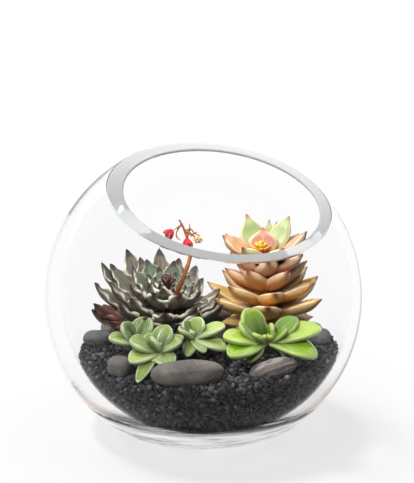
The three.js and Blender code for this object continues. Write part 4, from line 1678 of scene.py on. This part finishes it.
PALE_SHOOTS = [
    Shoot(
        "stonecrop_front",
        "pale_sedum_front",
        "pale_sedum_leaf",
        (-25, -45.5, 58.5),
        (-24, -41),
        [
            ((-38.9, -50, 66.3), 15, 0.5),
            ((-29.5, -39, 67.2), 12, 0.7),
            ((-26.8, -50, 67.8), 10.5, 0.5),
            ((-19.4, -38.5, 71.3), 12, 0.7),
            ((-38.1, -58, 57.7), 13, 1.0),
            ((-17.1, -59, 55.2), 12, 0.6),
            ((-11.8, -47, 64.8), 11, 0.8),
            ((-11.0, -42, 66.0), 9, 0.4),
            ((-26.5, -56.5, 57.5), 7, 0.5),
            ((-33.5, -67, 50.5), 7.5, 0.4),
        ],
        seed=21,
    ),
    Shoot(
        "stonecrop_left",
        "pale_sedum_left",
        "pale_sedum_leaf",
        (-36.5, -38.5, 60),
        (-35, -35),
        [
            ((-43.7, -38, 72.6), 11.5, 0.0),
            ((-30.5, -32, 73.5), 13.5, 0.1),
            ((-50.2, -44.5, 66.3), 12, 0.6),
            ((-40.0, -26, 67.0), 9, 0.0),
        ],
        seed=22,
    ),
    Shoot(
        "stonecrop_middle",
        "pale_sedum_middle",
        "pale_sedum_leaf",
        (-6, -33, 61.5),
        (-5, -30),
        [
            ((-11.2, -31.5, 71.4), 8.5, 0.3),
            ((-1.7, -30.5, 73.0), 11.5, 0.8),
            ((11.5, -36, 69.7), 12, 1.0),
            ((12.0, -45.5, 59.6), 11, 0.7),
            ((0.6, -47.5, 59.0), 7.5, 0.6),
            ((-8.5, -46.5, 56.5), 8, 0.5),
            ((-13.4, -39.5, 69.4), 9, 0.3),
            ((3.6, -29.0, 65.0), 7.5, 0.2),
        ],
        seed=23,
    ),
    Shoot(
        "stonecrop_back",
        "pale_sedum_back",
        "pale_sedum_leaf",
        (-16, -31.5, 54.5),
        (-16, -30.5),
        [
            ((-21.0, -33, 63.0), 7.5, 0.3),
            ((-12.0, -31.0, 62.5), 7, 0.3),
            ((-17.5, -37.0, 63.0), 6, 0.5),
            ((-24.5, -31.0, 58.0), 7, 0.2),
        ],
        seed=24,
    ),
]
BRIGHT_SHOOTS = [
    Shoot(
        "stonecrop_bright_left",
        "bright_sedum_left",
        "bright_sedum_leaf",
        (31.0, -42.5, 62.0),
        (25, -37),
        [
            ((22.8, -35, 79.5), 15, 0.6),
            ((19.2, -42, 74.2), 14, 0.2),
            ((10.6, -50, 68.3), 15, 1.0),
            ((13.7, -58.5, 60.8), 16.5, 0.5),
            ((28.0, -49.0, 69.5), 8, 0.0),
            ((24.0, -55.0, 56.5), 9.5, 0.1),
            ((31.0, -31.5, 70.0), 10, 0.0),
        ],
        seed=31,
    ),
    Shoot(
        "stonecrop_bright_right",
        "bright_sedum_right",
        "bright_sedum_leaf",
        (37.0, -42, 62.5),
        (46, -37),
        [
            ((50.5, -35.0, 74.4), 13, 0.2),
            ((36.5, -39.5, 73.0), 9.5, 0.0),
            ((63.0, -42.0, 70.8), 16.5, 1.0),
            ((59.0, -55.5, 60.0), 16, 0.6),
            ((44.5, -45.0, 71.0), 8.5, 0.0),
            ((41.5, -31.0, 67.0), 9, 0.0),
        ],
        seed=32,
    ),
]


@dataclass
class BudCluster:
    """A tight cluster of small pointed leaves in a rosette's heart."""

    name: str
    node: str
    slot: str
    at: Point
    reach: float
    width: float
    seed: int
    rings: tuple[tuple[int, float], ...] = ((7, 28), (5, 58), (3, 80))  # count and rise
    tip_slope: float = 0.9  # smaller is rounder
    bend: float = 0.2
    stray: float = 0.2  # radians either way
    lengths: tuple[float, float] = (0.85, 1.1)  # shortest and longest, as shares of the reach
    tones: float = 0.15

    def build(self, blank: LeafBlank, material: bpy.types.Material) -> None:
        """Grows the cluster.

        Args:
            blank: The leaf blank.
            material: Its finish.
        """
        rng = np.random.default_rng(self.seed)
        form = LeafForm(
            thickness=self.width * 0.5, root_width=0.6, widest=0.5, tip_slope=self.tip_slope,
            dome=0.4, cup=0.1, spike=0.3, margin=0.3,
        )
        batch = MeshBatch()
        for rank, (count, rise) in enumerate(self.rings):
            for number in range(count):
                heading = 2 * math.pi * (number + 0.5 * (rank % 2)) / count
                heading += rng.uniform(-self.stray, self.stray)
                length = self.reach * rng.uniform(*self.lengths)
                spine = Spine.bent(self.at, heading, math.radians(rise), self.bend, length)
                level, side = rank / (len(self.rings) - 1), level_side(heading)
                blank.grow(batch, form, spine, side, self.width, level, rng, self.tones)
        dress(batch.build(self.name), material, [self.node])


ECHEVERIA_BUDS = BudCluster(
    "echeveria_heart",
    "echeveria_bud",
    "echeveria_heart",
    (-21.0, 3.5, 80.0),
    7.6,
    3.4,
    51,
    ((5, 55), (5, 70), (3, 84)),
)
GHOST_PLANT_BUDS = BudCluster(
    "ghost_plant_heart",
    "ghost_plant_bud",
    "ghost_plant_heart",
    (32.8, 8.8, 100.0),
    6.4,
    3.4,
    52,
    ((8, 30), (7, 55), (5, 76)),
    0.45,
)


@dataclass
class WitheredLeaves:
    """The dry leaves that hang below the left side of the grey-green rosette."""

    root: Point = (-37, -6, 58)
    facing: Point = (-0.1, 0.85, -0.5)
    tips: tuple[tuple[Point, float], ...] = (
        ((-63, -6, 72.0), 5.5),
        ((-61, -5, 71.0), 6.0),
        ((-57, -8, 67.0), 6.5),
        ((-53, -13, 64.5), 6.0),
        ((-50, -14, 60.5), 6.5),
        ((-57, 10, 64.0), 7.0),
        ((-48, -6, 56.5), 6.5),
        ((-46, -15, 57.0), 6.0),
        ((-55, -2, 62.0), 6.0),
        ((-42, -17, 61.0), 5.5),
    )
    form: LeafForm = LeafForm(
        thickness=1.3, root_width=0.4, widest=0.62, tip_slope=0.5, dome=0.3, cup=0.55, spike=0.8,
        margin=0.5, edge=Edge.WAVED, wave=1.2, waves=1.8,
    )
    layers: int = 2  # leaves near each tip
    stray: float = 1.6  # of the tips
    turned: float = 0.5  # how far the upper faces look away from the rule
    arches: tuple[float, float] = (-0.35, 0.4)
    sizes: tuple[float, float] = (0.85, 1.25)  # shares of the width
    seed: int = 41

    def build(self, blank: LeafBlank, material: bpy.types.Material) -> None:
        """Curls the dry leaves.

        Args:
            blank: The leaf blank.
            material: Their finish.
        """
        rng = np.random.default_rng(self.seed)
        batch = MeshBatch()
        for tip, width in self.layers * self.tips:
            facing = tuple(np.array(self.facing) + rng.normal(0, self.turned, 3))
            end = tuple(np.array(tip) + rng.normal(0, self.stray, 3))
            arch = rng.uniform(*self.arches)
            width *= rng.uniform(*self.sizes)
            leaf = SetLeaf(self.root, end, width, rng.uniform(0, 1), facing, arch)
            leaf.add_to(batch, blank, self.form, rng)
        clump = batch.build("echeveria_dry_leaves")
        dress(clump, material, ["echeveria_withered_leaves"])


# ---- Flower stalk ----------------------------------------------------------------------


@dataclass
class FlowerSpray:
    """The flower stalk of the grey-green rosette with its twigs, its two flowers and its dry end."""

    twigs: tuple[tuple[tuple[Point, ...], float], ...] = (
        (
            (
                (-18.6, -2, 73),
                (-16.0, -8.5, 78.5),
                (-12.2, -8.5, 88),
                (-7.6, -4, 100),
                (-7.4, -1.5, 108),
                (-11, 0, 116.5),
            ),
            1.5,
        ),
        (((-9, -0.8, 114.5), (-5.8, -2, 113.2), (-3.4, -2.4, 110.6)), 0.8),
        (((-11.4, 0, 117.8), (-14.6, -1.6, 117.6), (-16.9, -3.4, 115.6)), 0.5),
        (((-8.6, -1, 112.5), (-9.8, -3, 113), (-9.6, -4.9, 112.0)), 0.55),
        (((-10.4, 0, 115), (-12, 0.4, 118.8), (-13.4, 0.4, 121.0)), 0.7),
        (((-8.2, -0.9, 112.5), (-7.2, 0.6, 115.6), (-7.5, 1.4, 118.6)), 0.6),
        (((-12.4, -0.2, 118.6), (-15.6, -1.6, 114.2), (-14.2, -2.6, 110.4), (-12.6, -2.8, 110.2)), 0.42),
        (((-9.6, -0.4, 115.2), (-6.6, -0.8, 116.6), (-5.2, -1.4, 113.6), (-1.8, -1.8, 112.4)), 0.5),
        (((-7.0, -1.2, 111.8), (-4.4, -1.0, 114.8), (-3.2, -1.4, 114.2)), 0.4),
    )
    taper: float = 0.5  # how much thinner each gets towards its end
    knob_pitch: float = 2.4  # of the knobs on their skin
    knob_height: float = 0.28
    old_to: float = 70.0  # height up to which the skin is old
    young_over: float = 50.0  # height over which it turns young
    flowers: tuple[tuple[str, str, Point, Point], ...] = (
        ("red_flower_left", "flower_left", (-16.95, -3.5, 115.8), (-0.75, -0.5, -0.5)),
        ("red_flower_front", "flower_front", (-9.5, -5.6, 111.5), (0.3, -0.4, -0.85)),
    )
    petals: int = 5
    petal_layers: tuple[tuple[float, float], ...] = ((36, 1.0), (50, 0.9))  # rise in degrees, and size
    petal_bend: float = 48.0
    petal_width: float = 1.5  # share of the flower's radius
    flower_length: float = 5.6
    flower_radius: float = 2.4
    end_at: Point = (-2.8, -2.6, 110.2)
    end_half: Point = (2.9, 2.0, 2.3)
    hairs: int = 70
    hair_width: float = 0.9
    hair_lengths: tuple[float, float] = (0.85, 1.15)  # shares of end_half
    hair_tones: float = 0.3
    hair_seed: int = 9

    def _tube(self, route: Sequence[Point], radius: float) -> bpy.types.Object:
        """Runs a round twig along a smooth curve.

        Args:
            route: Points that it passes.
            radius: Of the twig.

        Returns:
            The twig as a mesh.
        """
        curve = bpy.data.curves.new("twig", "CURVE")
        curve.dimensions = "3D"
        curve.bevel_depth, curve.bevel_resolution = radius * MM, 3
        curve.resolution_u, curve.use_fill_caps = 8, True
        spline = curve.splines.new("NURBS")
        spline.points.add(len(route) - 1)
        for number, (point, place) in enumerate(zip(spline.points, route)):
            point.co = (*(Vector(place) * MM), 1)
            point.radius = 1.0 - self.taper * number / (len(route) - 1)
        spline.use_endpoint_u, spline.order_u = True, 3
        twig = bpy.data.objects.new("twig", curve)
        bpy.context.scene.collection.objects.link(twig)
        pick(twig)
        bpy.ops.object.convert(target="MESH")
        return bpy.context.object

    def _stalk(self, material: bpy.types.Material) -> None:
        """Joins the twigs and roughens their skin.

        Args:
            material: The stalk's finish.
        """
        parts = [self._tube(route, radius) for route, radius in self.twigs]
        pick(parts[0])
        for part in parts[1:]:
            part.select_set(True)
        bpy.ops.object.join()
        stalk = bpy.context.object
        stalk.name = stalk.data.name = "flower_stalk"
        for vertex in stalk.data.vertices:
            knob = noise.noise(vertex.co / (self.knob_pitch * MM)) * self.knob_height * MM
            vertex.co += vertex.normal * knob
        heights = np.array([vertex.co.z / MM for vertex in stalk.data.vertices])
        share = np.clip((heights - self.old_to) / self.young_over, 0, 1)
        for name, values in (("rank", share**2), ("along", share * 0.6)):
            layer = stalk.data.attributes.new(name, "FLOAT", "POINT")
            layer.data.foreach_set("value", values.astype(np.float32))
        stalk.data.shade_smooth()
        dress(stalk, material, ["echeveria_flower_stalk"])

    def build(
        self,
        blank: LeafBlank,
        skin: bpy.types.Material,
        petal: bpy.types.Material,
        fluff: bpy.types.Material,
    ) -> None:
        """Makes the stalk, the flowers and the dry end.

        Args:
            blank: The leaf blank, for petals and hairs.
            skin: The stalk's finish.
            petal: The flowers' finish.
            fluff: The dry end's finish.
        """
        self._stalk(skin)
        for name, node, at, towards in self.flowers:
            flower = self._flower(blank, name, at, towards)
            dress(flower, petal, [node])
        self._dry_end(blank, fluff)

    def _flower(self, blank: LeafBlank, name: str, at: Point, towards: Point) -> bpy.types.Object:
        """Folds petals into a bell that opens towards a direction.

        Args:
            blank: The leaf blank.
            name: Of the piece. Its length is the seed, so each flower differs a little.
            at: Its base.
            towards: Where it opens.

        Returns:
            The flower.
        """
        rng = np.random.default_rng(len(name))
        form = LeafForm(
            thickness=0.9, root_width=0.55, widest=0.55, tip_slope=0.8, dome=0.2, cup=0.22,
            spike=0.3, margin=0.4,
        )
        axis = Vector(towards).normalized()
        turn = np.array(axis.to_track_quat("Z", "Y").to_matrix())
        batch = MeshBatch()
        bend, width = math.radians(self.petal_bend), self.petal_width * self.flower_radius
        for layer, (rise, size) in enumerate(self.petal_layers):
            for number in range(self.petals):
                heading = 2 * math.pi * (number + 0.5 * layer) / self.petals
                length = self.flower_length * size
                spine = Spine.bent((0, 0, 0.2), heading, math.radians(rise), bend, length)
                spine = spine.moved(turn, at)
                blank.grow(batch, form, spine, turn @ level_side(heading), width, 0.5 * layer, rng)
        return batch.build(name)

    def _dry_end(self, blank: LeafBlank, material: bpy.types.Material) -> None:
        """Makes the fluffy dry end, as a burst of short hairs round its middle.

        Args:
            blank: The leaf blank.
            material: The fluff.
        """
        rng = np.random.default_rng(self.hair_seed)
        form = LeafForm(
            thickness=0.5, root_width=0.8, widest=0.4, tip_slope=0.9, dome=0.5, cup=0.0, margin=0.2
        )
        batch = MeshBatch()
        for _ in range(self.hairs):
            way = unit(rng.normal(size=3))
            reach = np.array(self.end_half) * rng.uniform(*self.hair_lengths)
            end = np.array(self.end_at) + way * reach
            side = unit(np.cross(way, rng.normal(size=3)))
            places = blank.shape(form, Spine.arched(self.end_at, end, 0.1), side, self.hair_width, rng)
            tone, rank = rng.normal(0, self.hair_tones), rng.uniform(0, 1)
            batch.add(places, blank.faces, **blank.marks(tone, rank))
        dress(batch.build("stalk_dry_end"), material, ["stalk_end"])


# ---- Camera and studio -----------------------------------------------------------------


@dataclass(frozen=True)
class Viewpoint:
    """The photograph's camera: a long lens a little above the bowl, looking down at it."""

    image_height: int = 483
    centre_pixel: tuple[float, float] = (207.0, 241.5)
    bubble_pixel: tuple[float, float] = (203.1, 296.3)  # of the bubble's centre
    pixels_per_mm: float = 158.2 / 90.0  # the bubble's radius in each
    distance: float = 916.0
    elevation: float = 15.0
    sensor: float = 36.0

    def build(self, bubble: Vector) -> None:
        """Makes the camera.

        Args:
            bubble: The bubble's centre in millimetres.
        """
        pitch = math.radians(self.elevation)
        forward = Vector((0, math.cos(pitch), -math.sin(pitch)))
        upward = Vector((0, math.sin(pitch), math.cos(pitch)))
        right_by = (self.centre_pixel[0] - self.bubble_pixel[0]) / self.pixels_per_mm
        up_by = (self.bubble_pixel[1] - self.centre_pixel[1]) / self.pixels_per_mm
        target = bubble + Vector((1, 0, 0)) * right_by + upward * up_by
        data = bpy.data.cameras.new("camera")
        data.sensor_width = self.sensor
        data.lens = self.pixels_per_mm * self.distance / self.image_height * self.sensor
        data.clip_start, data.clip_end = 0.01, 100.0
        camera = bpy.data.objects.new("camera", data)
        camera.location = (target - forward * self.distance) * MM
        camera.rotation_euler = forward.to_track_quat("-Z", "Y").to_euler()
        bpy.context.scene.collection.objects.link(camera)
        bpy.context.scene.camera = camera


@dataclass(frozen=True)
class Softbox:
    """A far, wide lamp whose own shape never shows in the glass."""

    name: str
    at: Point  # only the direction counts
    strength: float
    spread: float  # degrees that it fills, seen from the bowl
    colour: str = "#ffffff"
    crossed: bool = False  # polarised: it lights the planting alone and leaves no glare on the glass

    def build(self, planting: bpy.types.Collection) -> None:
        """Hangs the lamp and turns it to the bowl.

        Args:
            planting: All but the glass and the sheet.
        """
        data = bpy.data.lights.new(self.name, "SUN")
        data.angle = math.radians(self.spread)
        data.energy, data.color = self.strength, linear(self.colour)[:3]
        lamp = bpy.data.objects.new(self.name, data)
        lamp.location = Vector(self.at) * MM
        lamp.rotation_euler = Vector(self.at).to_track_quat("Z", "Y").to_euler()
        lamp.visible_glossy = self.crossed
        lamp.visible_transmission = False
        if self.crossed:
            lamp.light_linking.receiver_collection = planting
        bpy.context.scene.collection.objects.link(lamp)


@dataclass
class Studio:
    """A light table of white acrylic in a room that is bright behind and above it and dim in front."""

    sheet: str = "#7c7c7c"  # how much of the room's light the acrylic gives back
    glow: float = 0.66  # of the lamps below the acrylic
    sheet_reach: float = 20000.0
    front: float = 0.25  # how bright the room is there
    back: float = 1.1
    top: float = 0.5  # added above
    bounces: int = 48  # of light between the glass's faces
    boxes: tuple[Softbox, ...] = (
        Softbox("key_above", (-350, 260, 900), 2.6, 14),
        Softbox("fill_front_left", (-700, -800, 600), 0.8, 60),
        Softbox("key_front_left", (-500, -620, 800), 2.2, 12, crossed=True),
        Softbox("fill_front_low", (300, -900, 120), 0.7, 60, "#fff8ee", crossed=True),
        Softbox("spark_above", (250, -420, 900), 0.9, 7, crossed=True),
        Softbox("fill_back", (350, 850, 420), 0.8, 60, crossed=True),
    )

    def _sheet(self) -> None:
        """Lays the sheet of acrylic."""
        deselect_all()
        bpy.ops.mesh.primitive_plane_add(size=2 * self.sheet_reach * MM)
        sheet = bpy.context.object
        sheet.name = "acrylic_sheet"
        material, tree = new_material("white_acrylic_lit_from_below")
        acrylic = {
            "Base Color": linear(self.sheet),
            "Roughness": 0.9,
            "Specular IOR Level": 0.0,
            "Emission Color": linear("#ffffff"),
            "Emission Strength": self.glow,
        }
        surface = add_node(tree, "ShaderNodeBsdfPrincipled", acrylic).outputs[0]
        add_node(tree, "ShaderNodeOutputMaterial", {"Surface": surface})
        sheet.data.materials.append(material)

    def _room(self) -> None:
        """Lights the room from behind and from above."""
        world = bpy.data.worlds.new("room")
        world.use_nodes = True
        tree = world.node_tree
        tree.nodes.clear()
        way = add_node(tree, "ShaderNodeTexCoord").outputs["Generated"]
        parts = add_node(tree, "ShaderNodeSeparateXYZ", {0: way}).outputs
        depth = {
            "Value": parts["Y"],
            "From Min": -0.9,
            "From Max": 0.7,
            "To Min": self.front,
            "To Max": self.back,
        }
        above = {"Value": parts["Z"], "From Min": 0.55, "From Max": 0.95, "To Max": self.top}
        lit, lit_above = (
            add_node(tree, "ShaderNodeMapRange", fading, interpolation_type="SMOOTHSTEP").outputs[0]
            for fading in (depth, above)
        )
        both = add_node(tree, "ShaderNodeMath", {0: lit, 1: lit_above}, operation="ADD").outputs[0]
        white = {"Color": linear("#ffffff"), "Strength": both}
        walls = add_node(tree, "ShaderNodeBackground", white).outputs[0]
        add_node(tree, "ShaderNodeOutputWorld", {"Surface": walls})
        bpy.context.scene.world = world

    def build(self, planting: bpy.types.Collection) -> None:
        """Lays the sheet, lights the scene and sets how light becomes colour.

        Args:
            planting: All but the glass and the sheet.
        """
        self._sheet()
        self._room()
        for box in self.boxes:
            box.build(planting)
        scene = bpy.context.scene
        scene.view_settings.view_transform = "Standard"
        scene.cycles.use_denoising = True
        scene.cycles.caustics_reflective = False
        scene.cycles.caustics_refractive = False
        scene.cycles.max_bounces = self.bounces
        scene.cycles.transmission_bounces = self.bounces
        scene.cycles.glossy_bounces = self.bounces


# ---- The terrarium ---------------------------------------------------------------------


def main() -> None:
    """Builds the terrarium round its CAD frame."""
    logging.basicConfig(level=logging.INFO, format="%(name)s: %(message)s")
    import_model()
    deselect_all()
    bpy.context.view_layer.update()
    bowl = Bowl()
    planting = bpy.data.collections.new("planting")
    Viewpoint().build(bowl.centre)
    Studio().build(planting)
    staged = set(bpy.context.scene.objects)

    bed = GravelBed(bowl)
    bed.build(GRAVEL.material())
    finishes = (GREY_PEBBLE, BROWN_PEBBLE, STREAKED_PEBBLE, BLACK_PEBBLE)
    stones = {finish: finish.material() for finish in finishes}
    for pebble in PEBBLES:
        pebble.build(bed, stones[pebble.finish])

    fine = LeafBlank(columns=8, rows=30)
    coarse = LeafBlank(columns=6, rows=10)
    ECHEVERIA.build(fine, bed, ECHEVERIA_LEAF.material())
    GHOST_PLANT.build(fine, bed, GHOST_LEAF.material())
    ECHEVERIA_BUDS.build(coarse, ECHEVERIA_HEART.material())
    GHOST_PLANT_BUDS.build(coarse, GHOST_HEART.material())
    WitheredLeaves().build(fine, DRY_LEAF.material())
    for finish, shoots in ((PALE_SEDUM_LEAF, PALE_SHOOTS), (BRIGHT_SEDUM_LEAF, BRIGHT_SHOOTS)):
        leaf = finish.material()
        for shoot in shoots:
            shoot.build(fine, bed, leaf)
    FlowerSpray().build(coarse, STALK_SKIN.material(), RED_PETAL.material(), TAN_FLUFF.material())
    for piece in bpy.context.scene.objects:
        if piece not in staged:
            planting.objects.link(piece)
    bowl.build(CLEAR_GLASS.material(), GROUND_GLASS.material(), FROSTED_GLASS.material())
    deselect_all()


if __name__ == "__main__":
    main()
